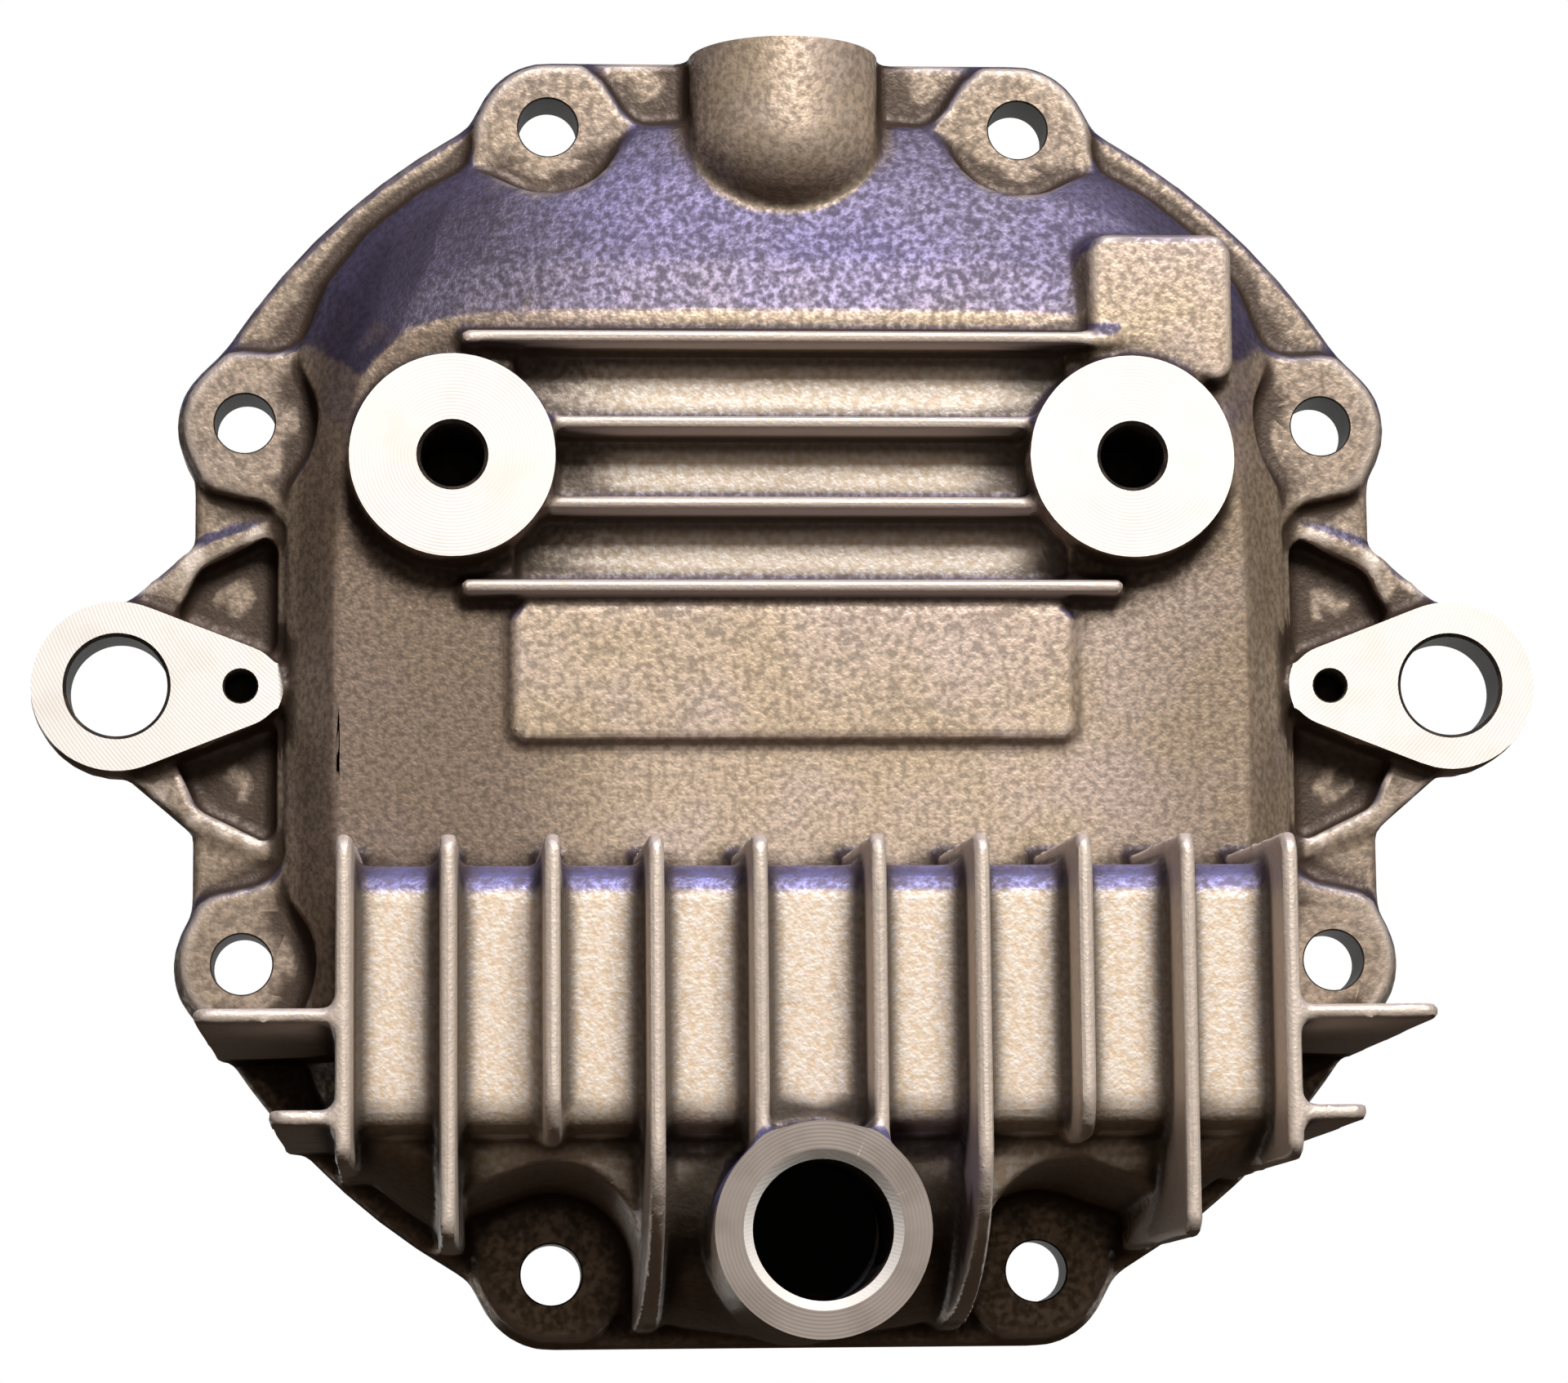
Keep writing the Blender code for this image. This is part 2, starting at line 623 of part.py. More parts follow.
def upright_fin_profile(x):
    """Side view of one fin: its foot ends on the flange's edge, at the drain or along the sump."""
    start = ROOT_DEPTH
    top = [(start, FIN_TOP_BACK)]
    top += arc(FIN_DEPTH - FIN_CORNER, FIN_TOP_FRONT - FIN_CORNER, FIN_CORNER, FIN_CORNER, 80, 0, 4)
    foot = -math.sqrt(FIN_FOOT_RADIUS ** 2 - x ** 2)
    beside_drain = DRAIN_RADIUS < abs(x) < END_BOLT_X - POCKET_RADIUS
    over_pocket = abs(abs(x) - END_BOLT_X) < POCKET_RADIUS
    if abs(x) < DRAIN_RADIUS:
        end = DRAIN_Z + DRAIN_RADIUS / 2
        bottom = [(FIN_DEPTH, end), (start, end)]
    elif over_pocket:
        end = POCKET_MOUTH_RISE + POCKET_MOUTH_RADIUS - END_BOLT_Z + FIN_POCKET_GAP
        bottom = arc(FIN_DEPTH - SHORT_FIN_CORNER, end + SHORT_FIN_CORNER, SHORT_FIN_CORNER,
                     SHORT_FIN_CORNER, 0, -85, 5)
        bottom += [(start, end)]
    elif beside_drain:
        bend = SUMP_FACE_BOTTOM - FIN_BEND_DROP
        bottom = arc(SUMP_FOOT_DEPTH, bend, FIN_DEPTH - SUMP_FOOT_DEPTH, bend - foot, 0, -90, 12)
        bottom += [(start, foot)]
    else:
        bottom = arc(FIN_DEPTH - FIN_CORNER, foot + FIN_CORNER, FIN_CORNER, FIN_CORNER, 0, -90, 4)
        bottom += [(start, foot)]
    return top + bottom


def upright_fins():
    def build(bm):
        for x in fin_places():
            profile = upright_fin_profile(x)
            halves = fin_half_widths(profile, FIN_THICKNESS, FIN_DEPTH)
            add_slab(bm, profile, halves, lambda d, z, h, x=x: (x + h, -d, z))
    return new_object("upright_fins", build)


def side_fins():
    """Level fins from the sump's side walls out to the flange's edge."""
    inner = SUMP_HALF_WIDTH - FIN_THICKNESS / 4

    def build(bm):
        for z in SIDE_FIN_HEIGHTS:
            tip = math.sqrt(SIDE_FIN_REACH ** 2 - z ** 2)
            corner = arc(FIN_DEPTH - SIDE_FIN_CORNER, tip - SIDE_FIN_CORNER,
                         SIDE_FIN_CORNER, SIDE_FIN_CORNER, 0, 90, 4)
            start = ROOT_DEPTH
            profile = [(start, inner), (FIN_DEPTH - EDGE_CHAMFER, inner)] + corner + [(start, tip)]
            halves = fin_half_widths(profile, FIN_THICKNESS, FIN_DEPTH)
            for side in (-1, 1):
                add_slab(bm, profile, halves, lambda d, x, h, side=side, z=z: (side * x, -d, z + h))
    return new_object("side_fins", build)


def cross_fins():
    """Level fins between the stud bosses; the first and last run on past them."""
    def build(bm):
        last = len(CROSS_FIN_HEIGHTS) - 1
        for i, z in enumerate(CROSS_FIN_HEIGHTS):
            half = CROSS_FIN_LONG_HALF if i in (0, last) else CROSS_FIN_SHORT_HALF
            start = RECESS_DEPTH - WALL / 2
            tip = CROSS_FIN_DEPTH
            profile = [(start, -half), (tip - EDGE_CHAMFER, -half), (tip, EDGE_CHAMFER - half)]
            profile += [(tip, half - EDGE_CHAMFER), (tip - EDGE_CHAMFER, half), (start, half)]
            halves = fin_half_widths(profile, CROSS_FIN_THICKNESS, tip)
            add_slab(bm, profile, halves, lambda d, x, h, z=z: (x, -d, z + h))
    return new_object("cross_fins", build)


def stud_bosses():
    return lofts("stud_bosses", [
        drafted_cylinder(s * STUD_X, STUD_Z, STUD_BOSS_RADIUS, BODY_STEP_DEPTH, STUD_FACE_DEPTH)
        for s in (-1, 1)
    ])


def inner_stud_bosses():
    """Pillars inside the cover that give the stud threads their length."""
    reach = (STUD_FACE_DEPTH + BODY_DEPTH) / 2
    return lofts("inner_stud_bosses", [[
        (circle(s * STUD_X, STUD_Z, STUD_INNER_RADIUS), STUD_INNER_FLOOR),
        (circle(s * STUD_X, STUD_Z, STUD_INNER_RADIUS + 2 * BOSS_DRAFT), reach),
    ] for s in (-1, 1)])


def square_pad():
    return lofts("square_pad", [[
        (box_outline(PAD_LEFT - PAD_SPREAD, PAD_RIGHT + PAD_SIDE_SPREAD, PAD_BOTTOM,
                     PAD_TOP + PAD_SPREAD / 2, PAD_CORNER), BODY_STEP_DEPTH - WALL / 2),
        (box_outline(PAD_LEFT, PAD_RIGHT, PAD_BOTTOM, PAD_TOP, PAD_CORNER), PAD_DEPTH - EDGE_CHAMFER),
        (box_outline(PAD_LEFT + EDGE_CHAMFER, PAD_RIGHT - EDGE_CHAMFER, PAD_BOTTOM + EDGE_CHAMFER,
                     PAD_TOP - EDGE_CHAMFER, PAD_CORNER - EDGE_CHAMFER), PAD_DEPTH),
    ]])


def plate():
    spread = BOSS_DRAFT
    return lofts("plate", [[
        (box_outline(-PLATE_HALF_WIDTH - spread, PLATE_HALF_WIDTH + spread, PLATE_BOTTOM - spread,
                     PLATE_TOP + spread, PLATE_CORNER), BODY_DEPTH - WALL / 2),
        (box_outline(-PLATE_HALF_WIDTH, PLATE_HALF_WIDTH, PLATE_BOTTOM, PLATE_TOP,
                     PLATE_CORNER), PLATE_DEPTH),
    ]])


def breather_boss():
    """Turned about an upright axis: straight at the top, closing like an egg at the bottom."""
    profile = [(BREATHER_RADIUS - EDGE_CHAMFER, BREATHER_TOP),
               (BREATHER_RADIUS, BREATHER_TOP - EDGE_CHAMFER)]
    profile += arc(0.0, BREATHER_STRAIGHT_END, BREATHER_RADIUS,
                   BREATHER_STRAIGHT_END - BREATHER_BOTTOM, 0, -75, 8)

    def build(bm):
        loops = []
        for radius, z in profile:
            ring = circle(0.0, 0.0, radius)
            loops.append([bm.verts.new((x, y - BREATHER_CENTRE_DEPTH, z)) for x, y in ring])
        for low, high in zip(loops, loops[1:]):
            for i in range(len(low)):
                j = (i + 1) % len(low)
                bm.faces.new((low[i], low[j], high[j], high[i]))
        bm.faces.new(list(reversed(loops[0])))
        bm.faces.new(loops[-1])

    return new_object("breather_boss", build)


def drain_boss():
    return lofts("drain_boss", [
        drafted_cylinder(0.0, DRAIN_Z, DRAIN_RADIUS, SUMP_FOOT_DEPTH, DRAIN_DEPTH, BOSS_DRAFT / 2)])


def arm_outline():
    """One ear's arm as a wedge from the flange out to the ear, wrapped round the ear's circle."""
    root = BODY_HALF_WIDTH - WALL
    ear = arc(EAR_X, EAR_Z, EAR_RADIUS, EAR_RADIUS, -ARM_WRAP_ANGLE, ARM_WRAP_ANGLE, 16)
    upper = [(ARM_SHOULDER_X, EAR_Z + ARM_SHOULDER_RISE), (root, EAR_Z + ARM_ROOT_RISE)]
    lower = [(root, EAR_Z - ARM_ROOT_RISE), (ARM_SHOULDER_X, EAR_Z - ARM_SHOULDER_RISE)]
    return lower + ear + upper


def ear_arms():
    right = arm_outline()
    return lofts("ear_arms", [
        [(outline, EAR_BACK_RELIEF), (outline, EAR_ARM_DEPTH)] for outline in (right, mirrored(right))])


def ear_pads():
    start = (EAR_BACK_RELIEF + EAR_POCKET_FLOOR) / 2
    ear, pin = (EAR_X, EAR_Z), (EAR_SMALL_X, EAR_Z)
    tip = round_and_small_end(ear, EAR_RADIUS - EAR_PAD_INSET, pin, EAR_SMALL_RADIUS)
    foot = round_and_small_end(ear, EAR_RADIUS - EAR_PAD_INSET / 2, pin, EAR_SMALL_RADIUS + EAR_PAD_INSET)
    return lofts("ear_pads", [
        [(foot, start), (tip, EAR_PAD_DEPTH)],
        [(mirrored(foot), start), (mirrored(tip), EAR_PAD_DEPTH)],
    ])


def pad_edge_rise(x):
    """How far the pad's straight edge lies above or below its middle at one distance across."""
    slope = (EAR_RADIUS - EAR_SMALL_RADIUS) / (EAR_X - EAR_SMALL_X)
    return (EAR_SMALL_RADIUS + (x - EAR_SMALL_X) * slope) / math.sqrt(1 - slope ** 2)


def pocket_corners(sign):
    """Corners of the hollow between an arm's rim, the body's side and the pad."""
    inner = BODY_HALF_WIDTH + EAR_POCKET_GAP
    outer = ARM_SHOULDER_X + EAR_RIM
    shoulder = (ARM_SHOULDER_X - EAR_POCKET_GAP, ARM_SHOULDER_RISE - EAR_RIM)
    slope = (ARM_ROOT_RISE - ARM_SHOULDER_RISE) / (ARM_SHOULDER_X - BODY_HALF_WIDTH)
    high = shoulder[1] + (shoulder[0] - inner) * slope
    low = EAR_SMALL_RADIUS - EAR_POCKET_CORNER
    pad_side = pad_edge_rise(outer) - EAR_POCKET_CORNER
    return [(inner, EAR_Z + sign * low), (outer, EAR_Z + sign * pad_side),
            (shoulder[0], EAR_Z + sign * shoulder[1]), (inner, EAR_Z + sign * high)]


def ear_pockets():
    ring_lists = []
    for sign in (-1, 1):
        corners = pocket_corners(sign)
        if sign < 0:
            corners = list(reversed(corners))
        outline = rounded(corners, EAR_POCKET_CORNER)
        for shape in (outline, mirrored(outline)):
            ring_lists.append([(shape, EAR_POCKET_FLOOR), (shape, EAR_PAD_DEPTH + OVERCUT)])
    return lofts("ear_pockets", ring_lists)


def pocket_outline(share, grow, steps=12):
    """An arch over a bottom bolt that runs on, nearly level, to the next fin but one."""
    radius = POCKET_RADIUS + (POCKET_MOUTH_RADIUS - POCKET_RADIUS) * share + grow
    x = END_BOLT_X + (POCKET_MOUTH_RADIUS - POCKET_RADIUS) * share
    z = -END_BOLT_Z + POCKET_MOUTH_RISE * share
    turns = [math.pi - math.radians(180 - POCKET_LEVEL_ANGLE) * k / steps for k in range(steps + 1)]
    arch = [(x + radius * math.cos(a), z + radius * math.sin(a)) for a in turns]
    fin_x = FIN_FIRST_X + FIN_PITCH * round((END_BOLT_X + POCKET_RADIUS - FIN_FIRST_X) / FIN_PITCH)
    flank = FIN_THICKNESS / 2 + FIN_DEPTH * (1 - share) * math.tan(FIN_DRAFT_ANGLE)
    side = fin_x - flank - POCKET_FIN_GAP + grow
    level = arch[-1][1] - (side - arch[-1][0]) / math.tan(math.radians(POCKET_LEVEL_ANGLE))
    floor = -FLANGE_RADIUS - 4 * OVERCUT
    return list(reversed([(x - radius, floor)] + arch + [(side, level), (side, floor)]))


def bolt_pocket(side, grow=0.0, start=LUG_DEPTH):
    """Room for a socket on a bottom bolt, open at the flange's edge and drafted to its mouth."""
    end = FIN_DEPTH + OVERCUT
    rings = [(pocket_outline(0.0, grow), start), (pocket_outline(1.0, grow), end)]
    if side > 0:
        return rings
    return [(mirrored(outline), depth) for outline, depth in rings]


def hollow():
    """The inside: the upper body's and the sump's shape less the wall, clear of the bolt pockets."""
    inside = lofts("hollow", [body_rings(WALL, -OVERCUT)])
    boolean(inside, sump(WALL), "UNION")
    keep = lofts("pocket_walls", [bolt_pocket(side, WALL, -2 * OVERCUT) for side in (-1, 1)])
    boolean(inside, keep, "DIFFERENCE")
    reach = FLANGE_RADIUS + OVERCUT
    land = block("gasket_land", (-reach, -2 * OVERCUT, -reach), (reach, LAND_THICKNESS, OPENING_BOTTOM))
    boolean(inside, land, "DIFFERENCE")
    return inside


def holes():
    """Bolt holes, stud holes, ear holes and the drain, as one set of separate plugs."""
    def hole(x, z, diameter, start, end):
        rim = circle(x, z, diameter / 2, HOLE_STEPS)
        return [(rim, start), (rim, end)]

    def countersunk(x, z, diameter, chamfer, start, face):
        radius = diameter / 2
        return [(circle(x, z, radius), start), (circle(x, z, radius), face - chamfer),
                (circle(x, z, radius + chamfer), face), (circle(x, z, radius + chamfer), face + OVERCUT)]

    plugs = [hole(x, z, BOLT_HOLE_DIAMETER, -OVERCUT, LUG_DEPTH + OVERCUT) for x, z in bolt_places()]
    for s in (-1, 1):
        plugs.append(countersunk(s * STUD_X, STUD_Z, STUD_HOLE_DIAMETER, EDGE_CHAMFER,
                                 STUD_FACE_DEPTH - STUD_HOLE_LENGTH, STUD_FACE_DEPTH))
        plugs.append(countersunk(s * EAR_X, EAR_Z, EAR_HOLE_DIAMETER, EAR_HOLE_CHAMFER,
                                 -OVERCUT, EAR_PAD_DEPTH))
        plugs.append(hole(s * EAR_SMALL_X, EAR_Z, EAR_SMALL_HOLE_DIAMETER,
                          EAR_PAD_DEPTH - EAR_SMALL_HOLE_LENGTH, EAR_PAD_DEPTH + OVERCUT))
    plugs.append(countersunk(0.0, DRAIN_Z, DRAIN_HOLE_DIAMETER, DRAIN_CHAMFER,
                             SUMP_FOOT_DEPTH + 2 * WALL, DRAIN_DEPTH))
    return lofts("holes", plugs)


def breather_hole():
    """Straight down from the boss's top into the hollow."""
    def build(bm):
        loops = []
        for z in (BREATHER_HOLE_END, BREATHER_TOP + OVERCUT):
            ring = circle(0.0, 0.0, BREATHER_HOLE_DIAMETER / 2, HOLE_STEPS)
            loops.append([bm.verts.new((x, y - BREATHER_CENTRE_DEPTH, z)) for x, y in ring])
        low, high = loops
        for i in range(len(low)):
            j = (i + 1) % len(low)
            bm.faces.new((low[i], low[j], high[j], high[i]))
        bm.faces.new(list(reversed(low)))
        bm.faces.new(high)
    return new_object("breather_hole", build)


def block(name, low, high):
    """A box between two corners given as (x, depth, z)."""
    outline = [(low[0], low[2]), (high[0], low[2]), (high[0], high[2]), (low[0], high[2])]
    return lofts(name, [[(outline, low[1]), (outline, high[1])]])


def fin_recess():
    low_z = CROSS_FIN_HEIGHTS[0]
    high_z = CROSS_FIN_HEIGHTS[-1]
    return block("fin_recess", (-RECESS_HALF_WIDTH, RECESS_DEPTH, low_z),
                 (RECESS_HALF_WIDTH, STUD_FACE_DEPTH + OVERCUT, high_z))


def milling_block():
    """All that lies behind the gasket face, where the flange is faced off."""
    reach = FLANGE_RADIUS + EAR_RADIUS + 4 * OVERCUT
    return block("milling_block", (-reach, -BREATHER_RADIUS - OVERCUT, -reach), (reach, 0.0, reach))


def cover_casting():
    cover = flange()
    cover.name = "cover_casting"
    boolean(cover, lug_pads(), "UNION")
    boolean(cover, lofts("body", [body_rings(0.0, ROOT_DEPTH)]), "UNION")
    boolean(cover, lug_notches(), "DIFFERENCE")
    boolean(cover, breather_boss(), "UNION")
    boolean(cover, ear_arms(), "UNION")
    boolean(cover, fin_recess(), "DIFFERENCE")
    boolean(cover, square_pad(), "UNION")
    boolean(cover, cross_fins(), "UNION")
    boolean(cover, plate(), "UNION")
    boolean(cover, sump(), "UNION")
    boolean(cover, upright_fins(), "UNION")
    boolean(cover, side_fins(), "UNION")
    boolean(cover, drain_boss(), "UNION")
    for side in (-1, 1):
        boolean(cover, lofts("bolt_pocket", [bolt_pocket(side)]), "DIFFERENCE")
    boolean(cover, ear_pockets(), "DIFFERENCE")
    boolean(cover, ear_pads(), "UNION")
    boolean(cover, stud_bosses(), "UNION")
    boolean(cover, hollow(), "DIFFERENCE")
    boolean(cover, inner_stud_bosses(), "UNION")
    boolean(cover, milling_block(), "DIFFERENCE")
    boolean(cover, holes(), "DIFFERENCE")
    boolean(cover, breather_hole(), "DIFFERENCE")
    return cover


def finish(cover, material):
    bm = bmesh.new()
    bm.from_mesh(cover.data)
    bmesh.ops.remove_doubles(bm, verts=bm.verts, dist=0.002 * MM)
    bmesh.ops.dissolve_degenerate(bm, edges=bm.edges, dist=0.002 * MM)
    bmesh.ops.triangulate(bm, faces=bm.faces)
    bm.to_mesh(cover.data)
    bm.free()
    cover.data.materials.clear()
    cover.data.materials.append(material)
    cover.data.shade_smooth()
    cover.data.set_sharp_from_angle(angle=math.radians(28))


def main():
    clear_scene()
    finish(cover_casting(), cast_aluminium())


main()
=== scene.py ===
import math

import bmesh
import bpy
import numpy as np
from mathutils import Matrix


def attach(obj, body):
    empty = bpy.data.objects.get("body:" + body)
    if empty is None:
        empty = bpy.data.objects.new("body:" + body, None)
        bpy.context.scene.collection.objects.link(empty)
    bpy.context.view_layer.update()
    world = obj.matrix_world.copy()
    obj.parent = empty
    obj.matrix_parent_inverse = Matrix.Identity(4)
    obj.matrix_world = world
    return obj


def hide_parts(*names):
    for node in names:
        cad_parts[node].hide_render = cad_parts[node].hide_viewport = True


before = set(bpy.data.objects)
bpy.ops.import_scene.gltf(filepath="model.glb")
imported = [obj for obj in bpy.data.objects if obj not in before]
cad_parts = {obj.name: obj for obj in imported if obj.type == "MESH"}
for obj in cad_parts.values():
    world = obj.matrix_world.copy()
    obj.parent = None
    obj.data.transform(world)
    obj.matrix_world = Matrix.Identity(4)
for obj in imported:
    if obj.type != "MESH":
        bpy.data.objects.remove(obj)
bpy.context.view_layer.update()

# %% [markdown]
# # A finned differential cover
#
# The real object is one aluminium sand casting that closes a rear axle. Melted metal took the shape
# of a sand mould, so every inside corner has a fillet, every edge is a little round and the skin is
# grainy. Afterwards a few places were machined: the stud and ear pads, the ring round the drain, the
# gasket face, the holes and their threads. Those are flat, bright and sharp-edged.
#
# The scene repeats that order. The exact solid is the pattern, a level set gives it the foundry's
# fillets and rounds, and then cutters take off the machining stock.

import openvdb
from mathutils import Quaternion, Vector
from mathutils.bvhtree import BVHTree

MM = 0.001
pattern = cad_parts["cover_casting"]
print("pattern triangles:", len(pattern.data.polygons))

# %% [markdown]
# ## Solids as grids
#
# The cutters, and the plugs that fill holes, are discs, cylinders and plates. Blender could add them
# one by one as primitives, but a thread or a countersink is none of these. So each is a grid of points
# instead: rows run along it and columns run round it. The first and last rows are closed with a fan to
# their middle, and a whole grid is worked out at once as numpy arrays.

# %% Turn every face of a closed shape outward
def outward(points, triangles):
    """Reverses all triangles if the volume they enclose, the sum of (a x b) . c / 6, is negative."""
    a, b, c = (points[triangles[:, n]] for n in range(3))
    volume = np.einsum("ij,ij->i", np.cross(a, b), c).sum() / 6
    return triangles if volume > 0 else triangles[:, ::-1]


# %% A closed solid from a grid of points
def solid(grid):
    """Rows by columns of points. Each quad (row i, column k) is two triangles, the columns wrap round,
    and the two end rows are closed by fans to their mean point."""
    rows, columns, _ = grid.shape
    points = np.vstack([grid.reshape(-1, 3), grid[0].mean(0), grid[-1].mean(0)])
    i, k = np.meshgrid(np.arange(rows - 1), np.arange(columns), indexing="ij")
    a, b = i * columns + k, i * columns + (k + 1) % columns
    c, d = b + columns, a + columns
    sides = np.concatenate([np.stack([a, b, c], -1).reshape(-1, 3),
                            np.stack([a, c, d], -1).reshape(-1, 3)])
    k = np.arange(columns)
    after, last = (k + 1) % columns, (rows - 1) * columns
    first_fan = np.stack([after, k, np.full(columns, rows * columns)], -1)
    last_fan = np.stack([last + k, last + after, np.full(columns, rows * columns + 1)], -1)
    return points, outward(points, np.concatenate([sides, first_fan, last_fan]))


def joined(solids):
    """Several solids as one list of points and triangles."""
    starts = np.cumsum([0] + [len(points) for points, _ in solids])
    return (np.vstack([points for points, _ in solids]),
            np.vstack([triangles + start for (_, triangles), start in zip(solids, starts)]))


# %% Turned and extruded solids
def turned(x, z, profile, steps=72):
    """A profile of (radius, depth) pairs turned about the line through (x, z) along Y: point (i, k)
    lies at x + r_i cos a_k, -depth_i, z + r_i sin a_k."""
    radius, depth = np.array(profile, float).T[:, :, None]
    angle = np.linspace(0, 2 * np.pi, steps, endpoint=False)[None]
    grid = np.stack([x + radius * np.cos(angle), -depth + 0 * angle, z + radius * np.sin(angle)], -1)
    return solid(grid * MM)


def upright(x, depth, profile, steps=72):
    """A profile of (radius, z) pairs turned about the upright line at x and depth."""
    radius, height = np.array(profile, float).T[:, :, None]
    angle = np.linspace(0, 2 * np.pi, steps, endpoint=False)[None]
    grid = np.stack([x + radius * np.cos(angle), -depth + radius * np.sin(angle), height + 0 * angle], -1)
    return solid(grid * MM)


def extruded(outline, start, end):
    """An outline of (x, z) pairs carried along Y from one depth to another."""
    outline = np.array(outline, float)
    grid = np.stack([np.column_stack([outline[:, 0], np.full(len(outline), -depth), outline[:, 1]])
                     for depth in (start, end)])
    return solid(grid * MM)


points, triangles = turned(0, 0, [(10, 0), (10, 5)])
print("a disc has", len(points), "points and", len(triangles), "triangles")


# %% An object that holds a mesh
def piece(name, points, triangles, material=None):
    """An object whose mesh has the given points and triangles, and the material if there is one."""
    mesh = bpy.data.meshes.new(name)
    mesh.from_pydata(points, [], triangles)
    made = bpy.data.objects.new(name, mesh)
    bpy.context.scene.collection.objects.link(made)
    if material:
        mesh.materials.append(material)
    return made


# %% [markdown]
# ## Machining stock
#
# A foundry casts a few millimetres of extra metal wherever a cutter will go, and casts no small
# holes. The stock matters here for the same reason: the fillets and rounds of the next step would
# soften the edges of pads and holes, and the cutter brings them back sharp. The places below are
# those of the exact solid, as depths in front of the gasket face.

# %% Where the cover is machined
STUDS = [(-67.3, 43.9), (67.3, 43.9)]
STUD_FACE, STUD_RADIUS, STUD_HOLE, STUD_HOLE_LENGTH = 36.0, 20.3, 6.3, 28.0
EARS = [(-134.0, 1.0), (134.0, 1.0)]
EAR_FACE, EAR_RADIUS, EAR_HOLE = 14.2, 17.0, 10.0
PINS = [(-109.5, 1.0), (109.5, 1.0)]
PIN_RADIUS, PIN_HOLE, PIN_HOLE_LENGTH = 8.1, 3.3, 10.0
DRAIN = (0.0, -110.3)
DRAIN_FACE, DRAIN_RADIUS, DRAIN_HOLE = 97.0, 19.8, 13.0
BOLTS = [(sx * x, sz * z) for x, z in ((48.0, 116.0), (109.0, 54.5)) for sx in (-1, 1) for sz in (-1, 1)]
BOLT_SEAT, BOLT_HOLE = 13.0, 6.0
BREATHER_DEPTH, BREATHER_TOP, BREATHER_RADIUS, BREATHER_HOLE = 11.5, 130.6, 19.3, 5.0
STOCK = 2.5
print("machined holes:", len(STUDS + EARS + PINS + BOLTS) + 2)


# %% The outline of an ear's pad
def pad_outline(side, grow=0.0, steps=40):
    """Round an ear's hole and its pin: two arcs joined by the tangents that both circles share. The
    tangents lean by the angle whose cosine is the difference of the radii over the distance."""
    (big_x, z), (small_x, _) = EARS[1], PINS[1]
    big, small = EAR_RADIUS + grow, PIN_RADIUS + grow
    lean = math.acos((big - small) / (big_x - small_x))
    near = np.linspace(np.pi - lean, np.pi + lean, steps)
    far = np.linspace(np.pi + lean, 3 * np.pi - lean, 2 * steps)
    outline = np.vstack([
        np.column_stack([small_x + small * np.cos(near), z + small * np.sin(near)]),
        np.column_stack([big_x + big * np.cos(far), z + big * np.sin(far)])])
    return outline * (side, 1)


# %% The exact solid as arrays
def pattern_arrays():
    """The exact solid's points and triangles. Points in the gasket plane move back by the stock."""
    mesh = pattern.data
    points = np.empty(len(mesh.vertices) * 3)
    mesh.vertices.foreach_get("co", points)
    points = points.reshape(-1, 3)
    points[points[:, 1] > -0.001 * MM, 1] += STOCK * MM
    mesh.calc_loop_triangles()
    triangles = np.empty(len(mesh.loop_triangles) * 3, int)
    mesh.loop_triangles.foreach_get("vertices", triangles)
    return points, triangles.reshape(-1, 3)


# %% The pattern with its stock
# A boss gets its metal from a base inside it up to the stock. A plug is a radius and the depth, or for
# the breather the height, at which it starts in the metal behind a hole. It is wider than the hole.
STUD_BASE, PAD_BASE, DRAIN_BASE, BREATHER_BASE = 28.0, 8.0, 80.0, 124.0
STUD_PLUG, EAR_PLUG, PIN_PLUG, BOLT_PLUG = (8.0, 5.0), (11.5, 1.6), (5.0, 3.0), (7.5, -STOCK)
DRAIN_PLUG, BREATHER_PLUG = (15.0, 66.0), (6.5, 113.0)
stock = [pattern_arrays()]
for x, z in STUDS:
    stock.append(turned(x, z, [(STUD_RADIUS, STUD_BASE), (STUD_RADIUS, STUD_FACE + STOCK)]))
    stock.append(turned(x, z, [STUD_PLUG, (STUD_PLUG[0], STUD_FACE + STOCK)]))
for side in (-1, 1):
    stock.append(extruded(pad_outline(side), PAD_BASE, EAR_FACE + STOCK))
for x, z in EARS:
    stock.append(turned(x, z, [EAR_PLUG, (EAR_PLUG[0], EAR_FACE + STOCK)]))
for x, z in PINS:
    stock.append(turned(x, z, [PIN_PLUG, (PIN_PLUG[0], EAR_FACE + STOCK)]))
for x, z in BOLTS:
    stock.append(turned(x, z, [BOLT_PLUG, (BOLT_PLUG[0], BOLT_SEAT)]))
stock.append(turned(*DRAIN, [(DRAIN_RADIUS, DRAIN_BASE), (DRAIN_RADIUS, DRAIN_FACE + STOCK)]))
stock.append(turned(*DRAIN, [DRAIN_PLUG, (DRAIN_PLUG[0], DRAIN_FACE + STOCK)]))
stock.append(upright(0, BREATHER_DEPTH, [(BREATHER_RADIUS, BREATHER_BASE),
                                         (BREATHER_RADIUS, BREATHER_TOP + STOCK)]))
stock.append(upright(0, BREATHER_DEPTH, [BREATHER_PLUG, (BREATHER_PLUG[0], BREATHER_TOP + STOCK)]))
print("solids in the pattern:", len(stock))

# %% [markdown]
# ## Fillets and rounds
#
# A pattern maker fills every inside corner and sands every edge round. On a mesh of this size a
# bevel would stumble over hundreds of short edges. A level set stores the distance to the surface on
# a fine lattice, so an offset is one number: out by the fillet, in by fillet and round, out by the
# round. The first move fills corners, the second takes edges off, and flat faces come back in place.

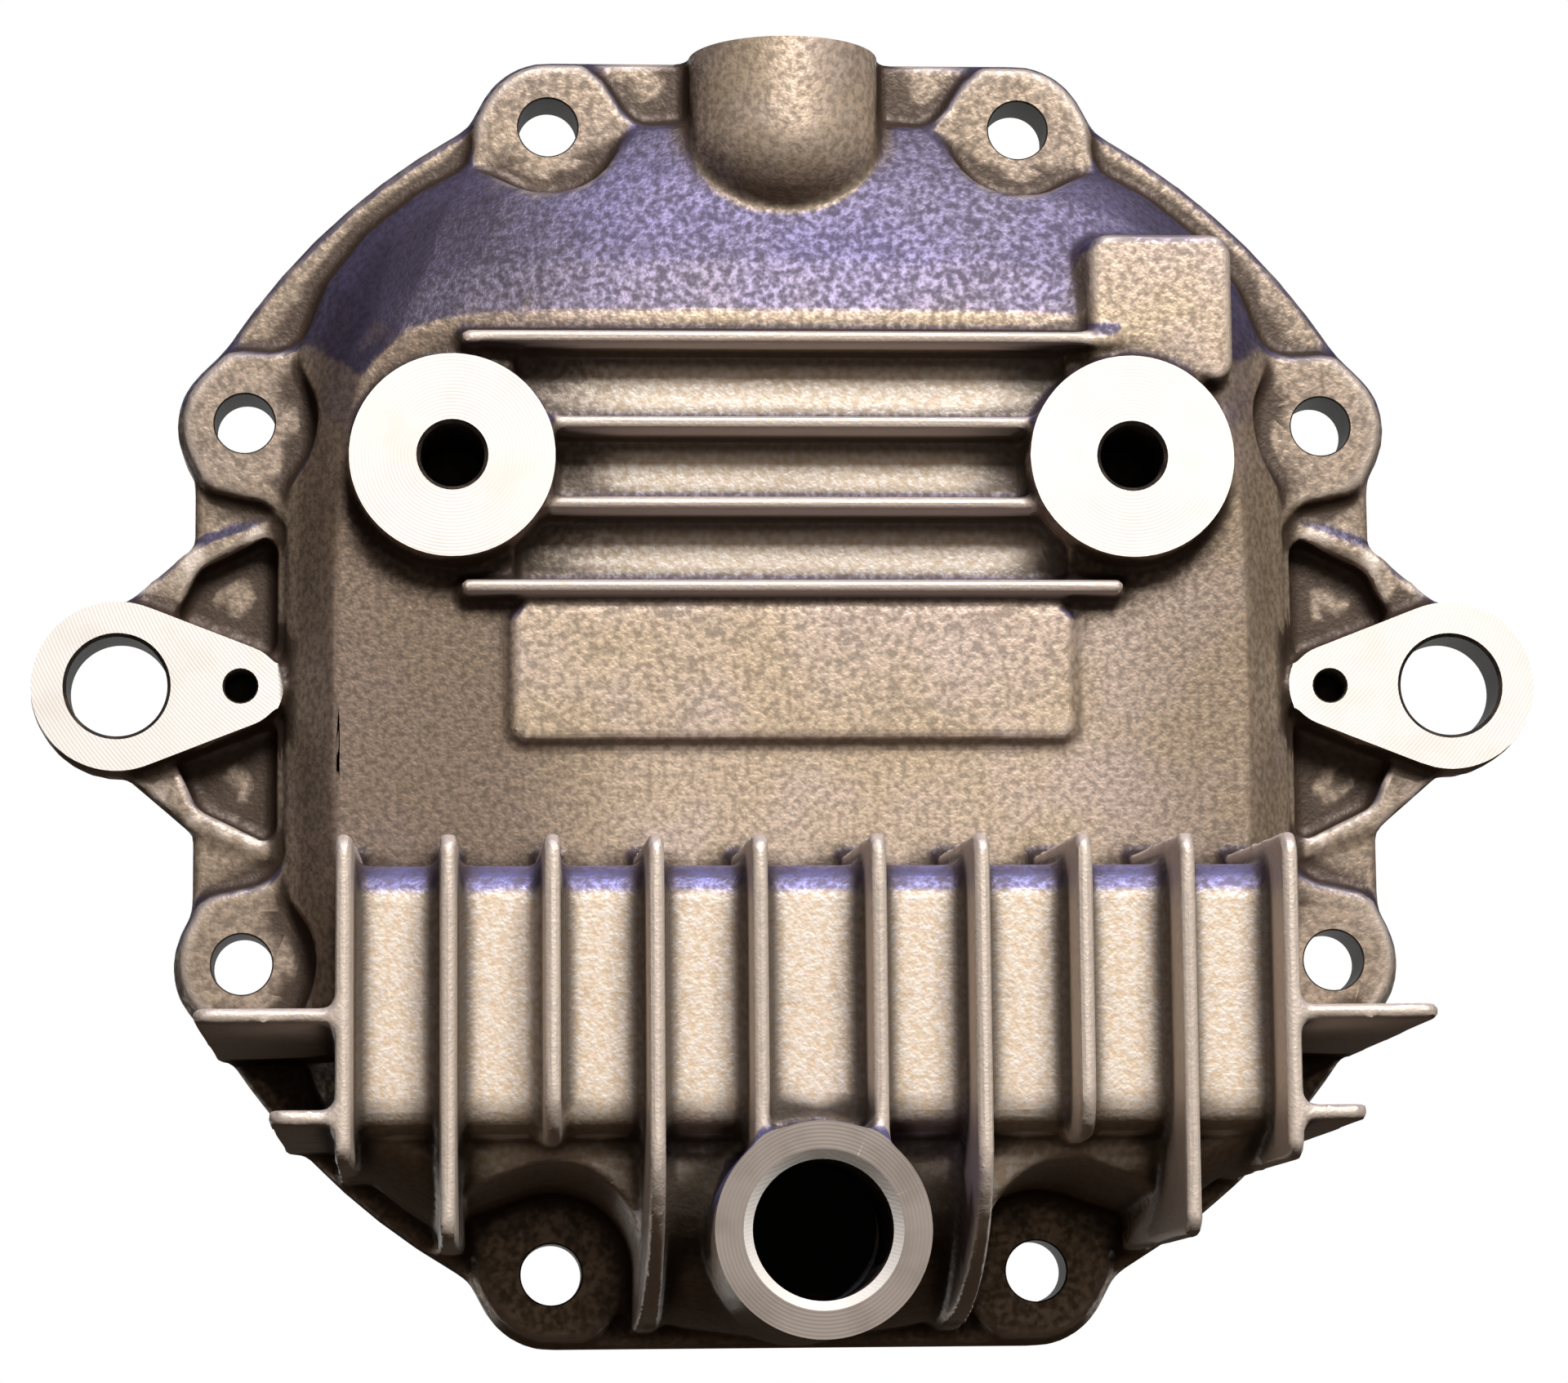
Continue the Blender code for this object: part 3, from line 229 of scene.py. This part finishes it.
# %% Offset a closed surface by a distance
def offset(points, triangles, distance, pitch):
    """The surface on which the signed distance to the given one equals distance."""
    field = openvdb.FloatGrid.createLevelSetFromPolygons(
        points.astype(np.float32), triangles=triangles.astype(np.uint32),
        transform=openvdb.createLinearTransform(pitch), halfWidth=abs(distance) / pitch + 2)
    points, triangles, quads = field.convertToPolygons(isovalue=distance)
    triangles = np.vstack([triangles.reshape(-1, 3), quads[:, (0, 1, 2)], quads[:, (0, 2, 3)]]).astype(int)
    return points.astype(float), outward(points, triangles)


# %% Fill the corners and round the edges
FILLET, ROUND = 1.2 * MM, 0.5 * MM
PITCH = 0.75 * MM
surface = joined(stock)
for step in (FILLET, -FILLET - ROUND, ROUND):
    surface = offset(*surface, step, PITCH)
print("casting after rounding:", len(surface[1]), "triangles")

# %% [markdown]
# ## Finishes
#
# A finish here is a set of shader nodes. Three things keep them readable: colours are written as the
# eye sees them, in sRGB, one function adds any node, and masks and layers stand in tables that loops
# turn into nodes.

# %% Colours are sRGB hex values, turned linear
def colour(code):
    """A part up to 0.04045 is divided by 12.92, a larger one is ((part + 0.055) / 1.055) to the 2.4."""
    parts = np.array([int(code[i:i + 2], 16) for i in (1, 3, 5)]) / 255
    return (*np.where(parts <= 0.04045, parts / 12.92, ((parts + 0.055) / 1.055) ** 2.4), 1.0)


print("middle grey is", round(float(colour("#808080")[0]), 3), "of white")


# %% Add a node
def node(tree, kind, inputs=None, **settings):
    """Adds a node and its settings. Each input, by name or number, gets a plain value, a hex colour or
    another node's output. Returns the node's outputs."""
    made = tree.nodes.new("ShaderNode" + kind)
    for name, value in settings.items():
        setattr(made, name, value)
    for key, value in (inputs or {}).items():
        if isinstance(value, bpy.types.NodeSocket):
            tree.links.new(value, made.inputs[key])
        else:
            made.inputs[key].default_value = colour(value) if isinstance(value, str) else value
    return made.outputs


def metal(name, metallic, roughness):
    """A material whose shader has plain metallic and roughness values."""
    material = bpy.data.materials.new(name)
    material.use_nodes = True
    shader = material.node_tree.nodes["Principled BSDF"]
    shader.inputs["Metallic"].default_value = metallic
    shader.inputs["Roughness"].default_value = roughness
    return material, material.node_tree, shader


MASK = ("Value", "From Min", "From Max", "To Min", "To Max")
SMOOTH = {"interpolation_type": "SMOOTHSTEP"}

# %% [markdown]
# ## The sand-cast skin
#
# Sand-cast aluminium is a metal under a skin, and the mould's sand leaves a grain of about a millimetre.
# On top of the grain the skin carries painted light: the sump's front, the floors between the cross fins
# and proud edges are painted lighter, and corners, hollows, undersides and parts that lie set back are
# painted darker, as painted shade. A painted image could show all that, but it would fit this one shape
# only. So the finish reads two things instead: where a spot lies on the cover, and how far it lies in a
# corner or stands proud at an edge. A shader can't know the latter, so it is measured on the mesh further
# down and kept there under the names corner, edge and deep.

# %% What the skin is made from
# Oxide covers the metal, so it is only partly metallic and rather rough. These two values are varied
# further down.
sand_cast, tree, shader = metal("sand_cast_aluminium", 0.4, 0.58)
where = node(tree, "TexCoord")["Object"]
place = node(tree, "SeparateXYZ", {"Vector": where})
facing_up = node(tree, "SeparateXYZ", {"Vector": node(tree, "TexCoord")["Normal"]})["Z"]
across, level, rise = (node(tree, "Math", {0: place[axis], 1: scale / MM}, operation="MULTIPLY")[0]
                       for axis, scale in (("X", 1), ("Y", -1), ("Z", 1)))
off_middle = node(tree, "Math", {0: across}, operation="ABSOLUTE")[0]
corner, edge, deep = (node(tree, "Attribute", attribute_name=name)["Fac"]
                      for name in ("corner", "edge", "deep"))
# Lumps in millimetres: blotches of oxide, the mould's grain, and single grains of sand. The last two
# are drawn two to three times as coarse as real moulding sand, so that they show.
BLOTCH, GRAIN, SAND = 26.0, 1.4, 0.7
blotches, grain, sand = (
    node(tree, "TexNoise", {"Vector": where, "Scale": 1 / (size * MM), "Detail": detail})["Fac"]
    for size, detail in ((BLOTCH, 3), (GRAIN, 2), (SAND, 1)))
print("nodes so far:", len(tree.nodes))

# %% Masks
# Each goes smoothly from its fourth to its fifth number while the measure goes from its second to its
# third. Level, rise and across are millimetres from the gasket face and the cover's middle.
mask = {name: node(tree, "MapRange", dict(zip(MASK, row)), **SMOOTH)[0] for name, row in {
    "blotch": (blotches, 0.35, 0.68, 0, 1),
    "speckle": (grain, 0.32, 0.68, 0.1, 0.9),
    "sump": (level, 45, 78, 0, 0.85),
    "near flange": (level, 20, 14, 0, 1),
    "above pockets": (rise, -105, -70, 0.3, 1),
    "below top fin": (rise, 70.5, 68.5, 0, 1),
    "above last fin": (rise, 16, 19, 0, 1),
    "between studs": (off_middle, 63, 58, 0, 1),
    "behind fins": (level, 26.5, 25, 0, 0.85),
    # The flanks carry painted shade on the body, heavier on the left than the right.
    "left flank": (across, -22, -62, 0, 0.75),
    "right flank": (across, 45, 85, 0, 0.5),
    "body face": (level, 29.9, 28.7, 0, 1),
    "above flange": (level, 14, 20, 0, 1),
    "painted sky tint": (facing_up, 0.06, 0.3, 0, 1),
    "underside": (facing_up, -0.3, -0.85, 0, 1),
    "edge": (edge, 0, 0.6, 0, 0.8),
    "corner": (corner, 0, 0.9, 0, 0.85),
    "foot": (corner, 0, 0.3, 0, 0.9),
    "deep": (deep, 0.25, 0.9, 0, 0.85),
}.items()}
print("masks:", len(mask))

# %% Masks made of others
for name, operation, first, second in (
        ("flange", "MULTIPLY", "near flange", "above pockets"),
        ("painted flange shade", "MULTIPLY", "flange", 0.75),
        ("recess", "MULTIPLY", "below top fin", "above last fin"),
        ("recess", "MULTIPLY", "recess", "between studs"),
        ("recess", "MULTIPLY", "recess", "behind fins"),
        ("flank", "MAXIMUM", "left flank", "right flank"),
        ("body", "MULTIPLY", "body face", "above flange"),
        ("painted body shade", "MULTIPLY", "flank", "body"),
        ("painted underside shade", "MULTIPLY", "underside", 0.75),
        ("underside rough", "MULTIPLY", "underside", 0.9),
        ("painted pocket shade", "MULTIPLY", "flange", "foot")):
    mask[name] = node(tree, "Math", {0: mask[first], 1: mask.get(second, second)}, operation=operation)[0]
print("masks with the combined ones:", len(mask))

# %% Layers, from the metal up
tone = node(tree, "Mix", {0: mask["blotch"], 6: "#b2a18a", 7: "#b7a79b"}, data_type="RGBA")[2]
LAYERS = (
    ("sump", "#e6dacb", "MIX"),             # painted light: the sump's front is painted lighter the farther it stands forward
    ("recess", "#ece2d5", "MIX"),           # painted light on the floors between the cross fins, where the fins' shadow falls
    ("painted flange shade", "#8a7c6e", "MIX"),      # painted shade on the flange and the ears' pockets, which lie set back
    ("painted body shade", "#5b4b3f", "MIX"),       # painted shade on the body beside its plate, heavier on the left
    (0.4, mask["speckle"], "OVERLAY"),      # the grain's light and dark lumps
    ("painted underside shade", "#7c6a58", "MIX"),   # painted shade on what faces down
    ("painted sky tint", "#787cbc", "MULTIPLY"),        # painted reflection: a violet sky tint on upward slopes
    ("edge", "#dbcfc4", "MIX"),             # painted highlight on proud edges
    ("corner", "#33261b", "MIX"),           # painted shade in the fillets
    ("painted pocket shade", "#3d3026", "MIX"),           # more painted shade round the pockets' floors
    ("deep", "#2a1f17", "MIX"))             # and painted shade in deep hollows
for amount, shade, kind in LAYERS:
    tone = node(tree, "Mix", {0: mask.get(amount, amount), 6: tone, 7: shade},
                data_type="RGBA", blend_type=kind)[2]
print("layers of tone:", 1 + len(LAYERS))

# %% Roughness and relief
# Lumps of grain are rubbed smoother than the hollows between them. Undersides stay dull, because no
# shot polished them.
rubbed = node(tree, "MapRange", dict(zip(MASK, (grain, 0.3, 0.7, 0.62, 0.44))), **SMOOTH)[0]
dullness = node(tree, "Math", {0: rubbed, 1: mask["underside rough"]}, operation="MAXIMUM")[0]
metallic, shine = (
    node(tree, "MapRange", dict(zip(MASK, (mask["underside"], 0, 1, top, bottom))), **SMOOTH)[0]
    for top, bottom in ((0.4, 0.05), (0.5, 0.1)))
height = node(tree, "Math", {0: grain, 1: sand}, operation="ADD")[0]
relief = node(tree, "Bump", {"Strength": 0.45, "Distance": 0.14 * MM, "Height": height})[0]
for name, value in (("Base Color", tone), ("Roughness", dullness), ("Metallic", metallic),
                    ("Specular IOR Level", shine), ("Normal", relief)):
    tree.links.new(value, shader.inputs[name])
print("nodes of the cast skin:", len(tree.nodes))

# %% [markdown]
# ## Machined metal
#
# Machined aluminium is the same metal with its skin off, so it is nearly white. A cutter leaves marks
# that follow its path, here rings round a boss's middle. Real ones are a tenth of a millimetre apart,
# too fine for the picture, so they are drawn 0.7 mm apart. The drain's ring is turned, and greyer
# than the pads.

# %% Milled and turned faces
RING_PITCH = 0.7
CLOUD = 9.0


def faced_metal(name, tint, dull, metallic, roughness, centre):
    """A wave over the distance from a pair of centres at (+-x, z): sin(2 pi distance / pitch). It
    tints the metal a little and lifts it by a hair, and slow clouds dull it."""
    material, tree, shader = metal(name, metallic, roughness)
    where = node(tree, "TexCoord")["Object"]
    split = node(tree, "SeparateXYZ", {"Vector": where})
    beside = node(tree, "Math", {0: split["X"]}, operation="ABSOLUTE")[0]
    legs = [node(tree, "Math", {0: value, 1: middle * MM}, operation="SUBTRACT")[0]
            for value, middle in zip((beside, split["Z"]), centre)]
    squares = [node(tree, "Math", {0: leg, 1: leg}, operation="MULTIPLY")[0] for leg in legs]
    total = node(tree, "Math", {0: squares[0], 1: squares[1]}, operation="ADD")[0]
    reach = node(tree, "Math", {0: total}, operation="SQRT")[0]
    turns = node(tree, "Math", {0: reach, 1: 2 * math.pi / (RING_PITCH * MM)}, operation="MULTIPLY")[0]
    wave = node(tree, "Math", {0: turns}, operation="SINE")[0]
    cloud = node(tree, "TexNoise", {"Vector": where, "Scale": 1 / (CLOUD * MM), "Detail": 3})["Fac"]
    tone = tint
    for row in ((cloud, 0.4, 0.75, 0, 0.55), (wave, -1, 1, 0, 0.22)):
        amount = node(tree, "MapRange", dict(zip(MASK, row)), **SMOOTH)[0]
        tone = node(tree, "Mix", {0: amount, 6: tone, 7: dull}, data_type="RGBA")[2]
    tree.links.new(tone, shader.inputs["Base Color"])
    relief = node(tree, "Bump", {"Strength": 0.35, "Distance": 0.02 * MM, "Height": wave})[0]
    tree.links.new(relief, shader.inputs["Normal"])
    return material


milled = faced_metal("milled_aluminium", "#fffefb", "#f0ece5", 0.25, 0.35, STUDS[1])
turned_grey = faced_metal("turned_drain_ring", "#a79e97", "#857c75", 0.3, 0.4, DRAIN)
print("faced finishes:", milled.name, turned_grey.name)


# %% Bores and the land behind the drain are painted dark, as painted shade
def painted_dark_metal(name, metallic, roughness, lump, low, dark, light):
    """Two dark tones in lumps of a few millimetres."""
    material, tree, shader = metal(name, metallic, roughness)
    where = node(tree, "TexCoord")["Object"]
    cloud = node(tree, "TexNoise", {"Vector": where, "Scale": 1 / (lump * MM), "Detail": 2})["Fac"]
    amount = node(tree, "MapRange", dict(zip(MASK, (cloud, low, 0.7, 0, 1))), **SMOOTH)[0]
    tone = node(tree, "Mix", {0: amount, 6: dark, 7: light}, data_type="RGBA")[2]
    tree.links.new(tone, shader.inputs["Base Color"])
    return material


drilled = painted_dark_metal("drilled_aluminium_painted_shade", 0.2, 0.6, 3.0, 0.35, "#1f1a17", "#40372f")
painted_black = painted_dark_metal("painted_shade_black_land", 0.0, 0.6, 5.0, 0.3, "#0b0908", "#17120f")
print("oily finishes:", drilled.name, painted_black.name)

# %% [markdown]
# ## The rough casting
#
# The level set is as fine on a flat face as in a fillet, about a million triangles. Decimate merges
# them where the surface hardly bends, so the flat faces give up nearly all of theirs and the fillets
# keep what they need.

# %% Replace a mesh by what a modifier makes of it
def applied(made, kind, **settings):
    """Adds a modifier, replaces the mesh by the result and takes the modifier off again."""
    modifier = made.modifiers.new(kind.lower(), kind)
    for name, value in settings.items():
        setattr(modifier, name, value)
    graph = bpy.context.evaluated_depsgraph_get()
    mesh = bpy.data.meshes.new_from_object(made.evaluated_get(graph))
    made.modifiers.clear()
    old, made.data = made.data, mesh
    bpy.data.meshes.remove(old)


# %% Thin the casting
CAST_TRIANGLES = 70000
casting = piece("cast_cover", *surface, sand_cast)
applied(casting, "DECIMATE", ratio=CAST_TRIANGLES / len(surface[1]))
print("casting after thinning:", len(casting.data.polygons), "triangles")

# %% [markdown]
# ## Machining
#
# Cutters are solids too. A face mill is a disc in front of the finished face, a drill is a cylinder,
# and a tap is a cylinder whose radius rises and falls along a helix. A Screw modifier could make the
# thread as well, but as a function of angle and depth its start, its end and its countersink are
# one formula.

# %% A tap and a drill
def tap(x, z, radius, pitch, start, face, chamfer, tip, steps=40):
    """A grid over angle and depth: the radius is the hole's, plus a chamfer that opens at the face,
    plus a thread, a triangle wave of depth over pitch less one turn per angle."""
    depth = np.arange(start, tip + pitch / 12, pitch / 6)[:, None]
    angle = np.linspace(0, 2 * np.pi, steps, endpoint=False)[None]
    wave = np.abs(((depth / pitch - angle / (2 * np.pi)) % 1) - 0.5) * 2
    fade = np.clip((depth - start) / pitch, 0, 1) * np.clip((face - chamfer - depth) / pitch, 0, 1)
    mouth = np.clip(depth - face + chamfer, 0, chamfer + 0.5)
    reach = radius + mouth + 0.6 * pitch * fade * np.clip(1.25 * wave - 0.125, 0, 1)
    grid = np.stack([x + reach * np.cos(angle), -depth + 0 * angle, z + reach * np.sin(angle)], -1)
    return solid(grid * MM)


def bore(x, z, radius, start, face, chamfer, tip, steps=72):
    """A plain drill with a countersink that opens at the face."""
    return turned(x, z, [(radius, start), (radius, face - chamfer), (radius + chamfer, face),
                         (radius + chamfer, tip)], steps)


# %% Mills and the lathe's tool
# Each reaches past its boss all round, and PAST in front of it. The last one faces the whole back.
PAST, BEHIND = 6.0, 8.0
STUD_MILL, BREATHER_MILL, DRAIN_TOOL, PAD_MILL = STUD_RADIUS + 2, BREATHER_RADIUS + 9, DRAIN_RADIUS + 3, 0.6
BACK_X, BACK_Z = 160, 140
mills = [turned(x, z, [(STUD_MILL, STUD_FACE), (STUD_MILL, STUD_FACE + PAST)]) for x, z in STUDS]
mills += [extruded(pad_outline(side, PAD_MILL), EAR_FACE, EAR_FACE + PAST) for side in (-1, 1)]
mills.append(upright(0, BREATHER_DEPTH, [(BREATHER_MILL, BREATHER_TOP), (BREATHER_MILL, BREATHER_TOP + PAST)]))
mills.append(extruded([(-BACK_X, -BACK_Z), (BACK_X, -BACK_Z), (BACK_X, BACK_Z), (-BACK_X, BACK_Z)],
                      0, -BEHIND))
lathes = [turned(*DRAIN, [(DRAIN_TOOL, DRAIN_FACE), (DRAIN_TOOL, DRAIN_FACE + PAST)])]
print("mills:", len(mills), "lathe tools:", len(lathes))

# %% Drills and taps
# LIFT is how far a drill's shank stands out. A tap has a pitch, and each hole a countersink. The
# drain's tap starts in the sump and stops short of the face, where a countersink of its own begins.
LIFT = 4.0
STUD_PITCH, PIN_PITCH, DRAIN_PITCH = 1.5, 1.0, 1.5
STUD_SINK, EAR_SINK, PIN_SINK, BOLT_SINK = 0.8, 0.7, 0.3, 0.3
DRAIN_START, DRAIN_FADE, DRAIN_TIP, BREATHER_START = 60, DRAIN_FACE - 3, DRAIN_FACE - 1.7, 96
drills = [tap(x, z, STUD_HOLE, STUD_PITCH, STUD_FACE - STUD_HOLE_LENGTH, STUD_FACE, STUD_SINK,
              STUD_FACE + LIFT) for x, z in STUDS]
drills += [bore(x, z, EAR_HOLE, -2, EAR_FACE, EAR_SINK, EAR_FACE + LIFT) for x, z in EARS]
drills += [tap(x, z, PIN_HOLE, PIN_PITCH, EAR_FACE - PIN_HOLE_LENGTH, EAR_FACE, PIN_SINK,
               EAR_FACE + LIFT, 24) for x, z in PINS]
drills += [bore(x, z, BOLT_HOLE, -6, BOLT_SEAT, BOLT_SINK, BOLT_SEAT + LIFT, 48) for x, z in BOLTS]
drills.append(tap(*DRAIN, DRAIN_HOLE, DRAIN_PITCH, DRAIN_START, DRAIN_FADE, 0, DRAIN_TIP, 56))
drills.append(upright(0, BREATHER_DEPTH, [(BREATHER_HOLE, BREATHER_START),
                                          (BREATHER_HOLE, BREATHER_TOP + PAST)], 48))
print("drills and taps:", len(drills))

# %% The drain's countersink and the land behind the drain
# The land is the flat bridge that closes the sump's back. It is skimmed by 0.3 mm, so that it takes the
# painted black shade.
chamfers = [turned(*DRAIN, [(DRAIN_HOLE - 1, DRAIN_FACE - 2.6), (DRAIN_HOLE + 2.6, DRAIN_FACE + 1)])]
LAND_X, LAND_LOW, LAND_HIGH, LAND_FACE, LAND_CLEAR = 21, -120, -93.4, 9.7, 20
floors = [extruded([(-LAND_X, LAND_LOW), (LAND_X, LAND_LOW), (LAND_X, LAND_HIGH), (-LAND_X, LAND_HIGH)],
                   LAND_FACE, LAND_CLEAR)]
print("cutters:", len(mills + lathes + drills + chamfers + floors))

# %% Cut
# The exact boolean takes minutes for this many triangles, the manifold one seconds. It carries each
# cutter's finish to the face that the cutter leaves.
for name, cutters, finish in (("mills", mills, milled), ("lathes", lathes, turned_grey),
                              ("drills", drills, drilled), ("chamfers", chamfers, milled),
                              ("floors", floors, painted_black)):
    for points, triangles in cutters:
        cutter = piece(name, points, triangles, finish)
        applied(casting, "BOOLEAN", operation="DIFFERENCE", object=cutter, solver="MANIFOLD",
                material_mode="TRANSFER")
        bpy.data.objects.remove(cutter)
print("finishes on the casting:", [material.name for material in casting.data.materials])

# %% [markdown]
# ## Corners and edges
#
# The same offsets measure where the skin gets its painted shade and painted highlight. Closing the
# casting with a ball of a few millimetres bridges its corners, so the distance from the true surface to
# the bridge says how deep a spot lies in a corner. Opening it with a ball says how far a spot stands
# proud, and closing it with a ball wider than the gaps says how deep a hollow is. The distances live on
# the mesh's points, so long edges are split first, or a flat face would only know its corners.

# %% Split long edges
LONGEST, ROUNDS = 8.0 * MM, 3
shape = bmesh.new()
shape.from_mesh(casting.data)
bmesh.ops.triangulate(shape, faces=shape.faces)
for _ in range(ROUNDS):
    long_edges = [e for e in shape.edges if e.calc_length() > LONGEST]
    bmesh.ops.subdivide_edges(shape, edges=long_edges, cuts=1)
    bmesh.ops.triangulate(shape, faces=shape.faces)
print("edges without exactly two faces:", sum(not e.is_manifold for e in shape.edges))
shape.to_mesh(casting.data)
shape.free()
print("casting with split edges:", len(casting.data.polygons), "triangles")

# %% Distances to the bridged and the worn surface
CORNER_BALL, EDGE_BALL, DEEP_BALL = 4.5 * MM, 2.2 * MM, 20.0 * MM
COARSE = 1.1 * MM


def measured(name, first, full, keep):
    """A point attribute: the distance to the surface that is offset out and back, or in and out, over
    the distance that counts as full, less what the lattice's own error would add."""
    pitch = max(COARSE, abs(first) / 8)
    ball = offset(*offset(*surface, first, pitch), -first, pitch)
    tree = BVHTree.FromPolygons(ball[0].tolist(), ball[1].tolist())
    places = [tree.find_nearest(vertex.co) for vertex in casting.data.vertices]
    values = [near[3] / full for near in places]
    layer = casting.data.attributes.new(name, "FLOAT", "POINT")
    layer.data.foreach_set("value", np.clip(np.array(values) - keep, 0, 1))
    print(name, "mean", round(float(np.mean(values)), 3))


measured("corner", CORNER_BALL, 1.4 * MM, 0.1)
measured("edge", -EDGE_BALL, 1.2 * MM, 0.15)
measured("deep", DEEP_BALL, 50 * MM, 0.0)

# %% [markdown]
# ## Shading
#
# Cast faces run into each other smoothly and machined ones meet at an edge, so an edge of more than
# 35 degrees is sharp. Booleans leave slivers, and a sliver pulls the normals of its corners off a flat
# face. Weighted normals count each face by its area, so slivers no longer show as ticks.

# %% Smooth, sharp and weighted
SHARP = 35
casting.data.shade_smooth()
casting.data.set_sharp_from_angle(angle=math.radians(SHARP))
applied(casting, "WEIGHTED_NORMAL", keep_sharp=True)
print("finished casting:", len(casting.data.polygons), "faces")
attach(casting, "root")
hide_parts("cover_casting")

# %% [markdown]
# ## Floor and backdrop
#
# The photo's background is white, but white paper all round would light the undersides, which are
# dark in the photo. So the paper itself is dark, and it glows white only for rays that come from the
# camera, from a reflection or through something clear. Both sheets lie behind the object.

# %% Paper that looks white and lights nothing
paper, tree, shader = metal("white_paper", 0.0, 0.9)
shader.inputs["Base Color"].default_value = colour("#47433f")
rays = node(tree, "LightPath")
seen = node(tree, "Math", {0: rays["Is Camera Ray"], 1: rays["Is Glossy Ray"]}, operation="MAXIMUM")[0]
seen = node(tree, "Math", {0: seen, 1: rays["Is Transmission Ray"]}, operation="MAXIMUM")[0]
glow = node(tree, "Emission", {"Color": "#ffffff", "Strength": 1.0})[0]
shown = node(tree, "MixShader", {0: seen, 1: shader.outputs[0], 2: glow})[0]
tree.links.new(shown, tree.nodes["Material Output"].inputs["Surface"])
print("paper nodes:", len(tree.nodes))

# %% Two sheets, in metres
SIDE, NEAR, FAR, LOW, HIGH = 1.2, 0.1, 1.5, -0.4, 1.4
SHEETS = {
    "floor": [(-SIDE, NEAR, LOW), (SIDE, NEAR, LOW), (SIDE, FAR, LOW), (-SIDE, FAR, LOW)],
    "backdrop": [(-SIDE, FAR, LOW), (SIDE, FAR, LOW), (SIDE, FAR, HIGH), (-SIDE, FAR, HIGH)]}
for name, corners in SHEETS.items():
    made = piece(name, np.array(corners), np.array([(0, 1, 2), (0, 2, 3)]), paper)
print("sheets:", list(SHEETS))

# %% [markdown]
# ## Light
#
# Shadows below the fins and the stud bosses say that the photo's main lamp stood in front, some forty
# degrees up and a little to the right. They are soft, so it is nearly a metre wide. A weak warm lamp
# from the front keeps the shadows open, and a faint lavender one from above tints the upward slopes.

# %% Lamps: place in metres, size, watts and tint
LAMPS = {
    "key_lamp": ((0.42, -1.9, 1.7), 0.9, 98, "#fff9f2"),
    "fill_lamp": ((0.2, -1.9, 0.3), 1.3, 1.5, "#fff0e0"),
    "top_lamp": ((-0.1, -0.85, 1.05), 0.7, 1.5, "#a59cf5")}
for name, (place, size, power, tint) in LAMPS.items():
    light = bpy.data.lights.new(name, "AREA")
    light.size, light.energy, light.color = size, power, colour(tint)[:3]
    made = bpy.data.objects.new(name, light)
    made.location = place
    made.rotation_euler = (-Vector(place)).to_track_quat("-Z", "Y").to_euler()
    bpy.context.scene.collection.objects.link(made)
print("lamps:", list(LAMPS))

# %% The room
world = bpy.data.worlds.new("studio")
world.use_nodes = True
bpy.context.scene.world = world
room = world.node_tree.nodes["Background"].inputs
room["Color"].default_value = colour("#8a7565")
room["Strength"].default_value = 0.14
print("room light:", room["Strength"].default_value)

# %% [markdown]
# ## Camera
#
# The camera was fitted to the photo: the distances between holes give its place, and the shift of the
# fins' fronts against the flange says how near it stands. It looks from a metre away, from a little
# below and to the left, and it is turned by half a degree.

# %% Camera
camera = bpy.data.objects.new("camera", bpy.data.cameras.new("camera"))
bpy.context.scene.collection.objects.link(camera)
bpy.context.scene.camera = camera
camera.data.sensor_fit = "HORIZONTAL"
camera.data.sensor_width = 36
camera.data.lens = 114.24
PLACE, AIM, ROLL = (-64.24, -1000, -140), (-2.688, -40, -3.84), -0.0096
camera.location = np.array(PLACE) * MM
aim = Vector(np.array(AIM) * MM)
look = (aim - camera.location).to_track_quat("-Z", "Y") @ Quaternion((0, 0, 1), ROLL)
camera.rotation_euler = look.to_euler()
bpy.context.scene.view_settings.view_transform = "Standard"
print("camera distance:", round((aim - camera.location).length, 3), "m")
